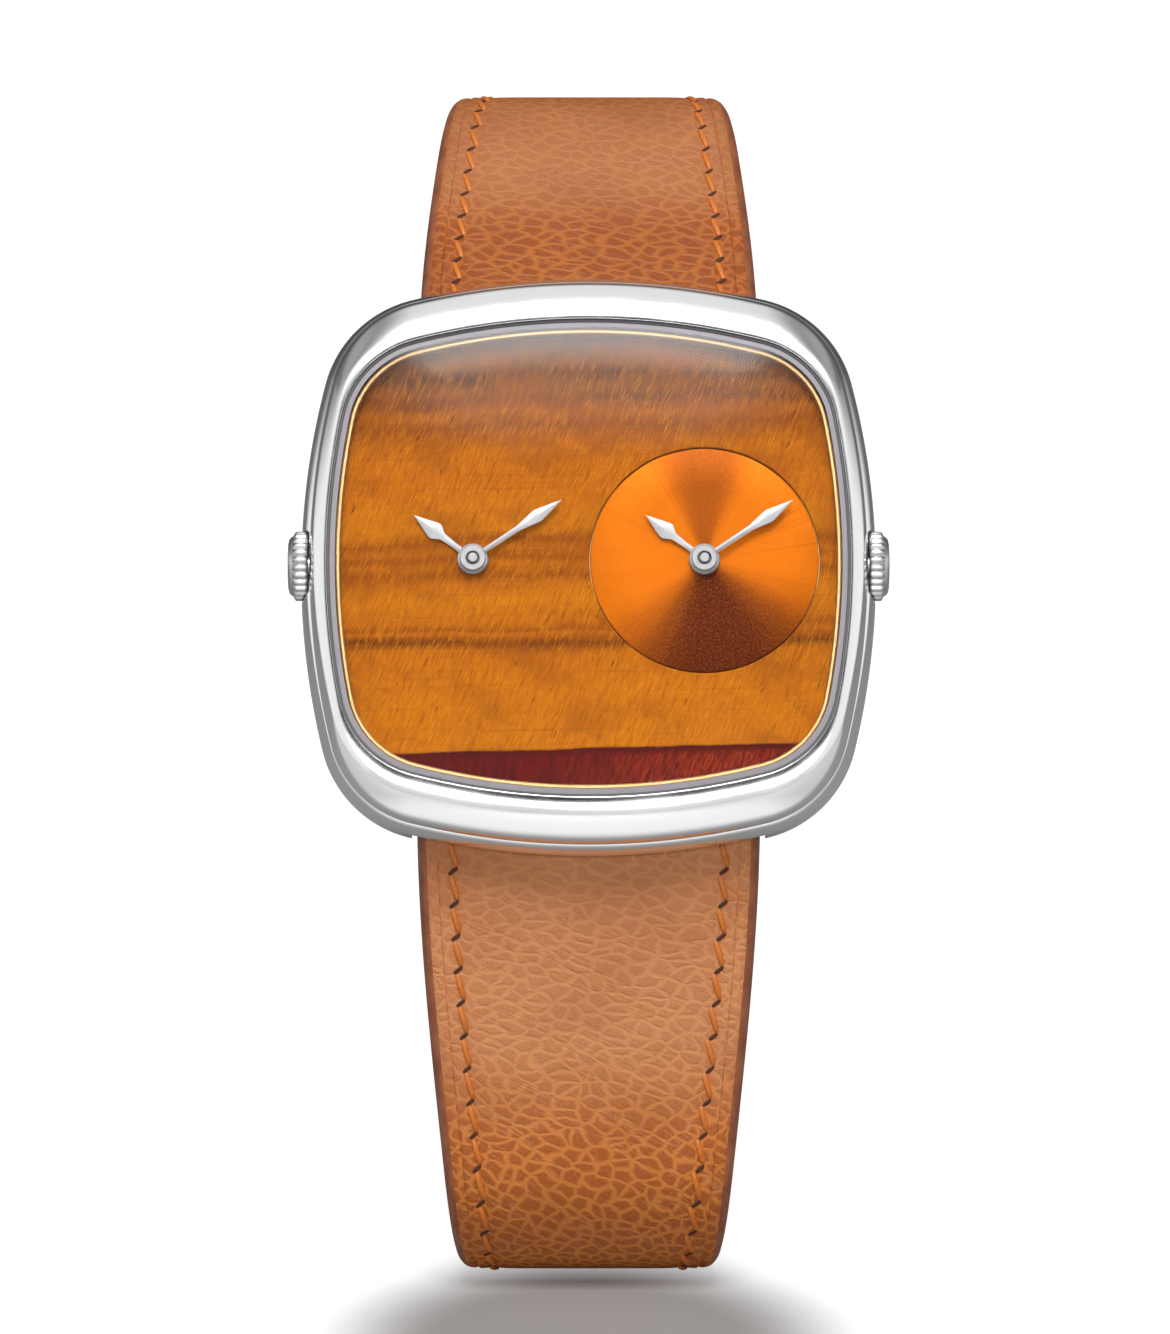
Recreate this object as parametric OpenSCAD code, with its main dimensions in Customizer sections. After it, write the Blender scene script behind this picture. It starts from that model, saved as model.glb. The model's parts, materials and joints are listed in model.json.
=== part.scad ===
// Wrist watch with two small movements under one stone dial, standing on its closed leather strap.
// The case is drawn flat: x to the right, y towards twelve, z out of the dial, with its back at z = 0.
// The strap is drawn in the plane that cuts the loop, with the lower spring bar as its centre.

/* [Case] */
// Width of the case between the two crowns
case_w = 37; // [36:0.25:38]
// Height of the case from six to twelve o'clock
case_h = 38; // [37:0.25:38.5]
// Radius of the two side arcs
case_side_r = 50; // [45:1:60]
// Radius of the arcs at six and twelve
case_end_r = 48; // [44:1:60]
// Radius of the four corners
case_corner_r = 7.6; // [6.5:0.1:9]
// Height of the rim above the case back
rim_z = 5.95; // [5.8:0.05:6.4]
// Height of the crease between the flank and the domed top
crease_z = 4.1; // [3.3:0.1:4.3]
// How far the crease lies inside the widest outline
crease_inset = 0.3; // [0.2:0.05:0.5]
// Height of the widest line of the flank
belly_z = 2.4; // [1.8:0.1:2.8]
// Height of the lower edge of the flank
skirt_z = 0.4; // [0.2:0.05:0.5]
// How far the lower edge lies inside the widest outline
skirt_inset = 0.9; // [0.5:0.1:1.2]
// Lean of the case back from upright
lean = 22; // [18:1:25]

/* [Crystal and dial] */
// Half width of the crystal opening
opening_w = 16.75; // [16.6:0.05:16.9]
// Half height of the crystal opening
opening_h = 15.6; // [15.5:0.05:15.8]
// Corner radius of the crystal opening
opening_corner_r = 6.4; // [5:0.1:7.5]
// Thickness of the crystal
crystal_t = 1; // [0.8:0.05:1.2]
// Width of the gasket round the crystal
crystal_gasket_w = 0.18; // [0.1:0.02:0.24]
// Height of the dial's underside above the case back
dial_z = 3.7; // [3.7:0.02:3.8]
// Thickness of the brass dial plate
dial_plate_t = 0.15; // [0.1:0.01:0.18]
// Thickness of the stone
stone_t = 0.5; // [0.4:0.02:0.54]
// Radius of the small dial let into the stone
small_dial_r = 7.3; // [6.5:0.05:7.4]
// How far the small dial lies below the stone's face
small_dial_sink = 0.1; // [0.05:0.01:0.2]
// Distance of each pair of hands from the middle of the dial
hands_x = 7.4; // [7.4:0.02:7.6]
// Width of the flange ring
flange_w = 0.3; // [0.2:0.05:0.4]

/* [Case back] */
// Thickness of the case back
back_t = 0.9; // [0.7:0.05:0.9]
// Half width of the case back
back_w = 15.95; // [15.8:0.05:16.1]
// Half height of the case back
back_h = 13.45; // [13.3:0.05:13.5]
// Thickness of the case back gasket
back_gasket_t = 0.2; // [0.15:0.01:0.3]
// Radius of the case back screws
back_screw_r = 0.5; // [0.4:0.05:0.6]

/* [Hands] */
// Length of the minute hand
minute_len = 6.8; // [6:0.1:7]
// Length of the hour hand
hour_len = 4.7; // [4:0.1:5.2]
// Thickness of each hand
hand_t = 0.12; // [0.1:0.01:0.14]
// Time shown by the minute hands, in degrees from twelve
minute_angle = 56; // [0:6:354]
// Time shown by the hour hands, in degrees from twelve
hour_angle = -52.5; // [-180:2.5:180]

/* [Crowns] */
// Radius of each crown over its flutes
crown_r = 2.25; // [2.1:0.05:2.3]
// Fluted length of each crown
crown_len = 0.95; // [0.8:0.05:1.1]
// Number of flutes
crown_flutes = 26; // [20:1:32]
// Height of the crown's axis above the case back
crown_z = 2.6; // [2.6:0.02:2.64]
// Distance of the crown's inner face from the middle of the case
crown_x = 18; // [17.9:0.05:18.15]

/* [Strap] */
// Width of the strap at the case
strap_w = 22; // [20.5:0.1:22.5]
// Width of the strap at the buckle
strap_end_w = 16; // [15:0.25:16.5]
// Thickness of the strap along its length
strap_t = 2.3; // [2:0.1:2.4]
// Radius of the padded end that holds a spring bar
strap_eye_r = 1.75; // [1.65:0.05:1.8]
// Share of the thickness that is the outer leather
leather_share = 0.55; // [0.45:0.05:0.65]
// Height of the lower spring bar above the table
bar_height = 32.4; // [31:0.2:34]
// Radius of the bend that lands the strap on the table
foot_r = 8; // [7.5:0.5:9]
// Radius of the bend that lifts the strap off the table
heel_r = 13; // [11:0.5:15]
// Radius of the back of the loop, from the lower spring bar to the middle of the upper strap
loop_r = 55.5; // [55:0.25:58]
// Height of the direction in which the upper strap leaves its spring bar, in degrees
upper_rise = 36; // [34:1:38]
// Straight length of the upper strap behind its spring bar
upper_straight = 17; // [16:0.25:19]
// Angle of the buckle's pin round the back of the loop
pin_angle = -2; // [-4:0.5:0]
// Angle of the tip of the lower strap round the back of the loop
tip_angle = 24; // [22:1:26]
// Distance between two holes
hole_pitch = 6.5; // [6:0.1:6.6]
// Number of holes
hole_count = 6; // [5:1:6]
// Radius of each hole
hole_r = 1; // [0.95:0.05:1.1]

/* [Spring bars] */
// Radius of a spring bar
bar_r = 0.75; // [0.7:0.05:0.8]
// Radius of a spring bar's tip
bar_tip_r = 0.4; // [0.35:0.05:0.45]
// Distance of a spring bar from the middle of the case
bar_y = 15.7; // [15.6:0.05:15.8]
// Height of a spring bar above the case back
bar_z = 1; // [0.9:0.05:1.05]

/* [Buckle] */
// Radius of the buckle's pin
pin_r = 0.7; // [0.6:0.05:0.75]
// Radius of the buckle's outer bar
buckle_bar_r = 1; // [0.9:0.05:1.2]
// Angle between the buckle's pin and its outer bar
buckle_span = 11.5; // [11.5:0.25:12]
// Width of each arm of the buckle
buckle_arm_w = 1.8; // [1.5:0.1:2.2]
// Radius of the tongue
tongue_r = 0.75; // [0.6:0.05:0.8]
// Width of each keeper along the strap
keeper_len = 5; // [4:0.25:5.5]
// Wall of each keeper
keeper_t = 1; // [0.8:0.05:1.2]
// Angle of the fixed keeper
fixed_keeper_angle = 4.5; // [4.5:0.25:5]
// Angle of the sliding keeper
sliding_keeper_angle = 12.5; // [12:0.25:13.5]

/* [Hidden] */

$fn = 48;
far = 60;
slip = 0.05;
gap = 0.1;
loose = 0.25;
skin = 0.02;

half_w = case_w / 2;
half_h = case_h / 2;
side_steps = 5;
corner_steps = 8;
end_steps = 6;

// Heights of the stack, counted from the case back.
stone_z = dial_z + dial_plate_t;
stone_top = stone_z + stone_t;
hour_hand_z = stone_top + 0.15;
minute_hand_z = hour_hand_z + hand_t + 0.2;
hands_top = minute_hand_z + hand_t + 0.16;
crystal_z = hands_top + gap;
seat_w = opening_w - 0.5;
seat_h = opening_h - 0.5;
seat_corner_r = opening_corner_r - 0.5;
cavity_w = 15.4;
cavity_h = 13;
cavity_corner_r = 5.2;
cavity_z = back_t + back_gasket_t;
boss_x = 11.4;
boss_y = 10.4;
boss_r = 1.1;

// The pocket under each end of the case takes the padded end of a strap.
pocket_w = strap_w + 0.6;
pocket_y = bar_y - strap_eye_r - loose;
pocket_z = bar_z + strap_eye_r + loose;
lug_w = 1.6;
lug_r = 1.1;
bar_tip_len = 0.9;

// Levels inside a movement.
move_z = back_t + 0.1;
bridge_t = 0.3;
plate_z = 2.2;
plate_t = 0.8;
move_w = 7.1;
move_h = 8.75;
move_corner_r = 1.4;
centre_wheel_z = 1.95;
centre_wheel_t = 0.15;
arbor_r = 0.25;
pivot_r = 0.12;
pivot_slip = 0.03;
cannon_r = 0.5;
hour_pipe_r = 0.8;
dial_hole_r = 0.95;

// Teeth and modules of the wheels.
train_module = 0.09;
rotor_teeth = 8;
intermediate_teeth = 40;
intermediate_pinion_teeth = 10;
centre_teeth = 60;
motion_minute_module = 0.125;
cannon_teeth = 12;
minute_wheel_teeth = 36;
minute_pinion_teeth = 10;
hour_wheel_teeth = 40;
centre_to_intermediate = train_module * (centre_teeth + intermediate_pinion_teeth) / 2;
intermediate_to_rotor = train_module * (intermediate_teeth + rotor_teeth) / 2;
centre_to_minute = motion_minute_module * (cannon_teeth + minute_wheel_teeth) / 2;
motion_hour_module = 2 * centre_to_minute / (hour_wheel_teeth + minute_pinion_teeth);
intermediate_dir = 75;
rotor_dir = 20;
minute_dir = 150;
intermediate_at = centre_to_intermediate * [cos(intermediate_dir), sin(intermediate_dir)];
rotor_at = intermediate_at + intermediate_to_rotor * [cos(rotor_dir), sin(rotor_dir)];
minute_at = centre_to_minute * [cos(minute_dir), sin(minute_dir)];
cannon_z = plate_z + plate_t + 0.04;
minute_wheel_z = cannon_z + 0.02;
minute_wheel_t = 0.14;
hour_wheel_z = cannon_z + 0.38;
hour_wheel_t = 0.15;
battery_at = [-3.6, -5.2];
battery_r = 3.4;
battery_t = 1.6;
coil_y = 7.4;
coil_r = 0.62;
coil_len = 10.4;
stator_z = 1.8;
stator_t = 0.3;
rotor_magnet_r = 0.75;
board_z = 1.45;
board_t = 0.2;
quartz_can_r = 0.24;
pillar_r = 0.6;
pillar_at = [[-5.9, 1.2], [5.9, -1.9]];
bridge_screw_r = 0.3;
stem_r = 0.45;
stem_end_x = 3.6;

// Crowns, in the case's frame.
scoop_r = crown_r + 0.2;
scoop_x = crown_x - 0.1;
crown_bore_r = 0.9;
crown_tube_r = 0.8;
crown_tube_out = 0.55;
crown_hollow_r = 1.35;
crown_hollow_len = 0.7;
cap_len = 0.35;

// Profile of the strap loop, with the lower spring bar at the origin: [back, up].
tail_r = loop_r + strap_t + 0.3;
foot_drop = bar_height - strap_t / 2 - foot_r;
heel_centre_z = -bar_height + strap_t / 2 + heel_r;
heel_centre_y = sqrt(pow(tail_r - heel_r, 2) - pow(heel_centre_z, 2));
heel_angle = atan2(-heel_centre_z, heel_centre_y);
foot_arc = foot_r * PI / 2;
flat_len = heel_centre_y - foot_r;
heel_arc = heel_r * (90 - heel_angle) * PI / 180;
lower_len = foot_drop + foot_arc + flat_len + heel_arc + tail_r * (tip_angle + heel_angle) * PI / 180;
bar_span = 2 * bar_y;
upper_start = bar_span * [sin(lean), cos(lean)];
rise_dir = [cos(upper_rise), sin(upper_rise)];
rise_side = [sin(upper_rise), -cos(upper_rise)];
knee_start = upper_start + upper_straight * rise_dir;
knee_r = (loop_r * loop_r - knee_start * knee_start) / (2 * (knee_start * rise_side + loop_r));
knee_centre = knee_start + knee_r * rise_side;
knee_angle = atan2(knee_centre.y, knee_centre.x);
knee_turn = upper_rise + 90 - knee_angle;
knee_arc = knee_r * knee_turn * PI / 180;
upper_len = upper_straight + knee_arc + loop_r * (knee_angle - pin_angle) * PI / 180;
origin_y = -foot_r - flat_len / 2;
taper_len = 45;
edge = 0.45;

// The tongue leaves the pin, rises through a hole and rests on the buckle's outer bar.
pin_eye_r = 1.55;
pin_drop = pin_eye_r - strap_t / 2 + 0.06;
hole_angle = pin_angle - 3.7;
outer_bar_r = tail_r + strap_t / 2 + buckle_bar_r + 0.15;
outer_bar_angle = pin_angle - buckle_span;
hole_slot = 2;
holes_below = 2;
buckle_half_w = strap_end_w / 2 + 0.35;
tongue_slot = 2 * tongue_r + 0.5;
keeper_clear = 0.15;

// Outline of the cushion shape, as arcs.
function corner_centre(a, b, rs, rt, rc) =
    let(dx = rs - a, dy = b - rt, d = norm([dx, dy]))
    let(r1 = rs - rc, r2 = rt - rc)
    let(k = (d * d + r1 * r1 - r2 * r2) / (2 * d))
    let(h = sqrt(r1 * r1 - k * k))
    [a - rs + (k * dx - h * dy) / d, (k * dy + h * dx) / d];

function quarter(a, b, rs, rt, rc) =
    let(c = corner_centre(a, b, rs, rt, rc))
    let(t1 = atan2(c.y, c.x - a + rs))
    let(t2 = atan2(c.y - b + rt, c.x))
    concat(
        [for (i = [0 : side_steps]) [a - rs + rs * cos(t1 * i / side_steps), rs * sin(t1 * i / side_steps)]],
        [for (i = [1 : corner_steps]) let(t = t1 + (t2 - t1) * i / corner_steps) c + rc * [cos(t), sin(t)]],
        [for (i = [1 : end_steps]) let(t = t2 + (90 - t2) * i / end_steps)
            [rt * cos(t), b + rt * (sin(t) - 1)]]
    );

function cushion(a, b, rc, inset = 0) =
    let(q = quarter(a - inset, b - inset, case_side_r - half_w + a - inset,
        case_end_r - half_h + b - inset, rc - inset))
    let(n = len(q))
    concat(
        q,
        [for (i = [n - 2 : -1 : 0]) [-q[i].x, q[i].y]],
        [for (i = [1 : n - 1]) [-q[i].x, -q[i].y]],
        [for (i = [n - 2 : -1 : 1]) [q[i].x, -q[i].y]]
    );

module cushion_plate(a, b, rc, z, t) {
    translate([0, 0, z])
        linear_extrude(t)
            polygon(cushion(a, b, rc));
}

module cushion_ring(a, b, rc, w, z, t) {
    difference() {
        cushion_plate(a, b, rc, z, t);
        cushion_plate(a - w, b - w, rc - w, z - 1, t + 2);
    }
}

// A skin through a stack of rings, each a list of points that run the same way round.
module loft(rings) {
    n = len(rings[0]);
    m = len(rings);
    points = [for (ring = rings) for (p = ring) p];
    sides = [for (j = [0 : m - 2]) for (i = [0 : n - 1]) let(k = (i + 1) % n)
        [j * n + i, j * n + k, (j + 1) * n + k, (j + 1) * n + i]];
    bottom = [[for (i = [0 : n - 1]) i]];
    top = [[for (i = [n - 1 : -1 : 0]) (m - 1) * n + i]];
    triangles = [for (f = sides) each [[f[0], f[2], f[1]], [f[0], f[3], f[2]]]];
    polyhedron(points, concat(triangles, bottom, top), convexity = 6);
}

function at_height(points, z) = [for (p = points) [p.x, p.y, z]];
function blend_points(p, q, t) = [for (i = [0 : len(p) - 1]) p[i] * (1 - t) + q[i] * t];

// Puts what is drawn in the case's frame where the case stands.
module in_case() {
    translate([0, origin_y, bar_height])
        rotate([90 - lean, 0, 0])
            translate([0, bar_y, -bar_z])
                children();
}

// Puts what is drawn in the loop's frame, x along the bars, where the loop stands.
module in_loop() {
    translate([0, origin_y, bar_height])
        children();
}

module right_side() {
    translate([hands_x, 0, 0])
        children();
}

module left_side() {
    rotate([0, 0, 180])
        right_side()
            children();
}

module case_shell() {
    belly = cushion(half_w, half_h, case_corner_r);
    skirt = cushion(half_w, half_h, case_corner_r, skirt_inset);
    low = cushion(half_w, half_h, case_corner_r, skirt_inset * 0.35);
    crease = cushion(half_w, half_h, case_corner_r, crease_inset);
    rim = cushion(opening_w, opening_h, opening_corner_r);
    dome = [for (a = [15 : 15 : 75])
        at_height(blend_points(crease, rim, 0.98 * (1 - cos(a))), crease_z + (rim_z - crease_z) * sin(a))];
    loft(concat(
        [at_height(skirt, skirt_z), at_height(low, skirt_z + 0.35 * (belly_z - skirt_z))],
        [at_height(belly, belly_z), at_height(crease, crease_z)],
        dome,
        [at_height(blend_points(crease, rim, 0.98), rim_z)]
    ));
}

module case_body() {
    color("silver") in_case() {
        difference() {
            union() {
                difference() {
                    case_shell();
                    cushion_plate(opening_w, opening_h, opening_corner_r, crystal_z, 3);
                    cushion_plate(seat_w, seat_h, seat_corner_r, dial_z, 3);
                    cushion_plate(cavity_w, cavity_h, cavity_corner_r, -1, 6);
                    cushion_plate(back_w + gap, back_h + gap, cavity_corner_r + gap, -1, cavity_z + 1);
                    for (side = [-1, 1])
                        translate([-pocket_w / 2, side > 0 ? pocket_y : -pocket_y - far, -far])
                            cube([pocket_w, far, far + pocket_z]);
                }
                for (sx = [-1, 1], sy = [-1, 1]) {
                    translate([sx * boss_x, sy * boss_y, cavity_z])
                        cylinder(r = boss_r, h = dial_z - cavity_z - 0.02);
                    translate([sx * (pocket_w + lug_w) / 2, sy * bar_y, bar_z])
                        rotate([0, 90, 0])
                            cylinder(r = lug_r, h = lug_w, center = true);
                }
            }
            for (sx = [-1, 1], sy = [-1, 1]) {
                translate([sx * boss_x, sy * boss_y, 0])
                    cylinder(r = back_screw_r + slip, h = back_t + 1.9);
                translate([sx * (pocket_w / 2 - 1), sy * bar_y, bar_z])
                    rotate([0, sx * 90, 0])
                        cylinder(r = bar_tip_r + slip, h = 1 + bar_tip_len + gap);
            }
            for (side = [0, 180])
                rotate([0, 0, side])
                    translate([0, 0, crown_z])
                        rotate([0, 90, 0]) {
                            cylinder(r = crown_bore_r, h = far);
                            translate([0, 0, scoop_x])
                                cylinder(r = scoop_r, h = far);
                        }
        }
    }
}

module crystal() {
    w = crystal_gasket_w + 0.02;
    color("lightcyan", 0.3) in_case()
        cushion_plate(opening_w - w, opening_h - w, opening_corner_r - w, crystal_z + skin, crystal_t);
}

module crystal_gasket() {
    color("dimgray") in_case()
        cushion_ring(opening_w - 0.01, opening_h - 0.01, opening_corner_r - 0.01,
            crystal_gasket_w, crystal_z, crystal_t * 0.8);
}

module dial_flange() {
    color("gold") in_case()
        cushion_ring(seat_w - gap, seat_h - gap, seat_corner_r - gap, flange_w,
            stone_top + skin, crystal_z - stone_top - 2 * skin);
}

module stone_dial() {
    color("darkgoldenrod") in_case()
        difference() {
            cushion_plate(seat_w - gap, seat_h - gap, seat_corner_r - gap, stone_z + skin, stone_t - skin);
            translate([hands_x, 0, 0])
                cylinder(r = small_dial_r + slip, h = 10, $fn = 96);
            translate([-hands_x, 0, 0])
                cylinder(r = dial_hole_r, h = 10);
        }
}

module small_dial() {
    color("chocolate") in_case()
        translate([hands_x, 0, stone_z + skin])
            difference() {
                cylinder(r = small_dial_r, h = stone_t - small_dial_sink, $fn = 96);
                translate([0, 0, -1])
                    cylinder(r = dial_hole_r, h = 3);
            }
}

module dial_plate() {
    color("peru") in_case()
        difference() {
            cushion_plate(seat_w - gap, seat_h - gap, seat_corner_r - gap, dial_z, dial_plate_t);
            for (x = [-hands_x, hands_x])
                translate([x, 0, 0])
                    cylinder(r = dial_hole_r, h = 10);
        }
}

module movement_holder() {
    color("dimgray") in_case()
        difference() {
            cushion_plate(cavity_w - gap, cavity_h - gap, cavity_corner_r - gap,
                move_z, dial_z - skin - move_z);
            for (x = [-hands_x, hands_x])
                translate([x, 0, 0])
                    rounded_plate(move_w + gap, move_h + gap, move_corner_r + gap, 0, 5);
            for (sx = [-1, 1], sy = [-1, 1])
                translate([sx * boss_x, sy * boss_y, 0])
                    cylinder(r = boss_r + gap, h = 5);
            translate([0, 0, crown_z])
                rotate([0, 90, 0])
                    cylinder(r = crown_bore_r, h = far, center = true);
        }
}

module case_back() {
    color("gainsboro") in_case()
        difference() {
            cushion_plate(back_w, back_h, cavity_corner_r, 0, back_t);
            for (sx = [-1, 1], sy = [-1, 1])
                translate([sx * boss_x, sy * boss_y, -1]) {
                    cylinder(r = back_screw_r + slip, h = 5);
                    cylinder(r = 2 * back_screw_r, h = 1 + back_t / 2);
                }
        }
}

module case_back_gasket() {
    color("black") in_case()
        cushion_ring(back_w, back_h, cavity_corner_r, back_h - cavity_h - gap, back_t, back_gasket_t);
}

module case_back_screws() {
    color("lightgray") in_case()
        for (sx = [-1, 1], sy = [-1, 1])
            translate([sx * boss_x, sy * boss_y, 0])
                difference() {
                    union() {
                        translate([0, 0, gap])
                            cylinder(r = back_screw_r, h = back_t + 1.5);
                        translate([0, 0, gap])
                            cylinder(r = 2 * back_screw_r - slip, h = back_t / 2 - gap);
                    }
                    cube([0.2, 4, 2 * (gap + 0.12)], center = true);
                }
}

module spring_bar() {
    rotate([0, 90, 0]) {
        cylinder(r = bar_r, h = pocket_w - 2 * loose, center = true);
        cylinder(r = bar_tip_r, h = pocket_w + 2 * bar_tip_len, center = true);
    }
}

module upper_spring_bar() {
    color("gray") in_case()
        translate([0, bar_y, bar_z])
            spring_bar();
}

module lower_spring_bar() {
    color("gray") in_case()
        translate([0, -bar_y, bar_z])
            spring_bar();
}

// A wheel's outline: flat-sided teeth with room to turn, one tooth centred on the angle turn.
function gear_points(teeth, pitch, turn) =
    let(r = pitch * teeth / 2)
    let(out = r + 0.75 * pitch, root = r - 1.05 * pitch)
    let(w = 90 / teeth)
    [for (i = [0 : teeth - 1]) for (p = [[root, -0.95], [out, -0.3], [out, 0.3], [root, 0.95]])
        let(a = turn + 360 * i / teeth + p[1] * w) p[0] * [cos(a), sin(a)]];

module gear(teeth, pitch, turn, z, t) {
    translate([0, 0, z])
        linear_extrude(t)
            polygon(gear_points(teeth, pitch, turn));
}

module rounded_plate(w, h, r, z, t) {
    translate([0, 0, z])
        linear_extrude(t)
            union() {
                square([2 * w - 2 * r, 2 * h], center = true);
                square([2 * w, 2 * h - 2 * r], center = true);
                for (sx = [-1, 1], sy = [-1, 1])
                    translate([sx * (w - r), sy * (h - r)])
                        circle(r);
            }
}

module pivot_hole(at, z, t) {
    translate([at.x, at.y, z - 1])
        cylinder(r = pivot_r + pivot_slip, h = t + 2, $fn = 24);
}

module main_plate() {
    rim_t = dial_z - skin - plate_z;
    difference() {
        union() {
            rounded_plate(move_w, move_h, move_corner_r, plate_z, plate_t);
            difference() {
                rounded_plate(move_w, move_h, move_corner_r, plate_z, rim_t);
                rounded_plate(move_w - 0.5, move_h - 0.5, move_corner_r - 0.5, 0, 5);
            }
            for (p = pillar_at)
                translate([p.x, p.y, move_z + bridge_t])
                    cylinder(r = pillar_r, h = plate_z - move_z - bridge_t + 0.1);
            translate([minute_at.x, minute_at.y, plate_z])
                cylinder(r = 0.27, h = hour_wheel_z + hour_wheel_t - plate_z, $fn = 24);
        }
        translate([0, 0, 1])
            cylinder(r = arbor_r + pivot_slip + 0.02, h = 5);
        pivot_hole(intermediate_at, plate_z, 0);
        pivot_hole(rotor_at, plate_z, 0);
        translate([battery_at.x, battery_at.y, 0])
            cylinder(r = battery_r + gap, h = plate_z + 0.6);
        translate([-coil_len / 2 - gap, coil_y - coil_r - gap, 0])
            cube([coil_len + 2 * gap, 2 * (coil_r + gap), plate_z + 0.72]);
        translate([gap - move_w + 0.5, coil_y - 0.5, 0])
            cube([2 * (move_w - 0.5 - gap), 1, plate_z + 0.2]);
        translate([stem_end_x - gap, -stem_r - gap, 0])
            cube([far, 2 * (stem_r + gap), crown_z + stem_r + gap]);
        for (p = pillar_at)
            translate([p.x, p.y, 0])
                cylinder(r = bridge_screw_r + slip / 2, h = plate_z + 0.2, $fn = 24);
    }
}

module train_bridge() {
    difference() {
        translate([0, 0, move_z])
            linear_extrude(bridge_t)
                polygon([[-6.7, -0.3], [-6.7, 2.4], [-1, 5.6], [4.2, 5.6],
                    [6.7, 3], [6.7, -2.7], [1.4, -1.6]]);
        for (p = concat([[0, 0]], [intermediate_at], [rotor_at]))
            pivot_hole(p, move_z, 0.3);
        for (p = pillar_at)
            translate([p.x, p.y, 0])
                cylinder(r = bridge_screw_r + slip, h = 5, $fn = 24);
        translate([battery_at.x, battery_at.y, 0])
            cylinder(r = battery_r + gap, h = 5);
    }
}

module bridge_screws() {
    for (p = pillar_at)
        translate([p.x, p.y, back_t + slip])
            cylinder(r = bridge_screw_r, h = 1.1, $fn = 24);
}

module battery() {
    translate([battery_at.x, battery_at.y, move_z + slip]) {
        cylinder(r = battery_r, h = battery_t - 0.3);
        cylinder(r = battery_r - 0.5, h = battery_t);
    }
}

module coil() {
    translate([0, coil_y, stator_z + stator_t + 0.12])
        rotate([0, 90, 0])
            difference() {
                cylinder(r = coil_r, h = coil_len - 2 * gap, center = true, $fn = 32);
                cube([0.24, 0.84, coil_len + 1], center = true);
            }
    translate([-move_w + 0.7, coil_y - 0.4, stator_z + stator_t + 0.02])
        cube([2 * move_w - 1.4, 0.8, 0.2]);
}

module stator() {
    translate([0, 0, stator_z])
        linear_extrude(stator_t)
            difference() {
                union() {
                    translate([-6.4, 4.7])
                        square([12.8, 1]);
                    for (x = [-6.4, 5.4])
                        translate([x, 4.7])
                            square([1, 3.2]);
                    translate(rotor_at)
                        circle(1.45);
                }
                translate(rotor_at)
                    circle(rotor_magnet_r + 0.2);
            }
}

module circuit_board() {
    difference() {
        translate([0.4, -8.3, board_z])
            cube([6.3, 4.9, board_t]);
        translate([battery_at.x, battery_at.y, 0])
            cylinder(r = battery_r + gap, h = 5);
    }
    translate([2.4, -7.6, board_z + board_t])
        cube([1.8, 1.8, 0.4]);
    translate([5.6, -7.6, board_z + board_t + quartz_can_r - skin])
        rotate([-90, 0, 0])
            cylinder(r = quartz_can_r, h = 3.4, $fn = 32);
}

module rotor() {
    translate([rotor_at.x, rotor_at.y, 0]) {
        translate([0, 0, move_z + slip])
            cylinder(r = pivot_r, h = plate_z + 0.4 - move_z, $fn = 24);
        gear(rotor_teeth, train_module, 180 + rotor_dir + 180 / rotor_teeth, 1.45, 0.2);
        translate([0, 0, stator_z])
            cylinder(r = rotor_magnet_r, h = 0.32);
    }
}

module intermediate_wheel() {
    translate([intermediate_at.x, intermediate_at.y, 0]) {
        translate([0, 0, move_z + slip])
            cylinder(r = pivot_r, h = plate_z + 0.4 - move_z, $fn = 24);
        gear(intermediate_teeth, train_module, rotor_dir, 1.5, 0.12);
        gear(intermediate_pinion_teeth, train_module,
            180 + intermediate_dir + 180 / intermediate_pinion_teeth, 1.62, 0.52);
    }
}

module centre_wheel() {
    translate([0, 0, move_z + slip])
        cylinder(r = pivot_r, h = 1, $fn = 24);
    gear(centre_teeth, train_module, intermediate_dir, centre_wheel_z, centre_wheel_t);
    translate([0, 0, centre_wheel_z])
        cylinder(r = arbor_r, h = cannon_z - centre_wheel_z + 0.1, $fn = 32);
    gear(cannon_teeth, motion_minute_module, minute_dir, cannon_z, 0.32);
    translate([0, 0, cannon_z + 0.3])
        cylinder(r = cannon_r, h = minute_hand_z - skin - cannon_z - 0.3, $fn = 32);
    translate([0, 0, minute_hand_z - 0.1])
        cylinder(r = 0.3, h = hands_top - minute_hand_z + 0.1, $fn = 32);
}

module minute_wheel() {
    translate([minute_at.x, minute_at.y, 0])
        difference() {
            union() {
                gear(minute_wheel_teeth, motion_minute_module,
                    180 + minute_dir + 180 / minute_wheel_teeth, minute_wheel_z, minute_wheel_t);
                gear(minute_pinion_teeth, motion_hour_module,
                    180 + minute_dir + 180 / minute_pinion_teeth,
                    minute_wheel_z + minute_wheel_t - 0.01, 0.38);
            }
            cylinder(r = 0.3, h = 6, $fn = 24);
        }
}

module hour_wheel() {
    difference() {
        union() {
            gear(hour_wheel_teeth, motion_hour_module, minute_dir, hour_wheel_z, hour_wheel_t);
            translate([0, 0, hour_wheel_z])
                cylinder(r = hour_pipe_r, h = hour_hand_z + hand_t + 0.04 - hour_wheel_z, $fn = 32);
        }
        cylinder(r = cannon_r + slip, h = 9, $fn = 32);
    }
}

// A lance hand pointing at twelve: [share of the length, half width] from the hub to the tip.
module hand(len, outline, hub_r, bore_r, z, boss) {
    left = [for (p = outline) [-p[1], p[0] * len]];
    right = [for (i = [len(outline) - 1 : -1 : 0]) [outline[i][1], outline[i][0] * len]];
    translate([0, 0, z])
        difference() {
            union() {
                linear_extrude(hand_t)
                    polygon(concat(left, right));
                cylinder(r = hub_r, h = hand_t + boss);
            }
            translate([0, 0, -1])
                cylinder(r = bore_r, h = 3, $fn = 32);
        }
}

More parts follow.
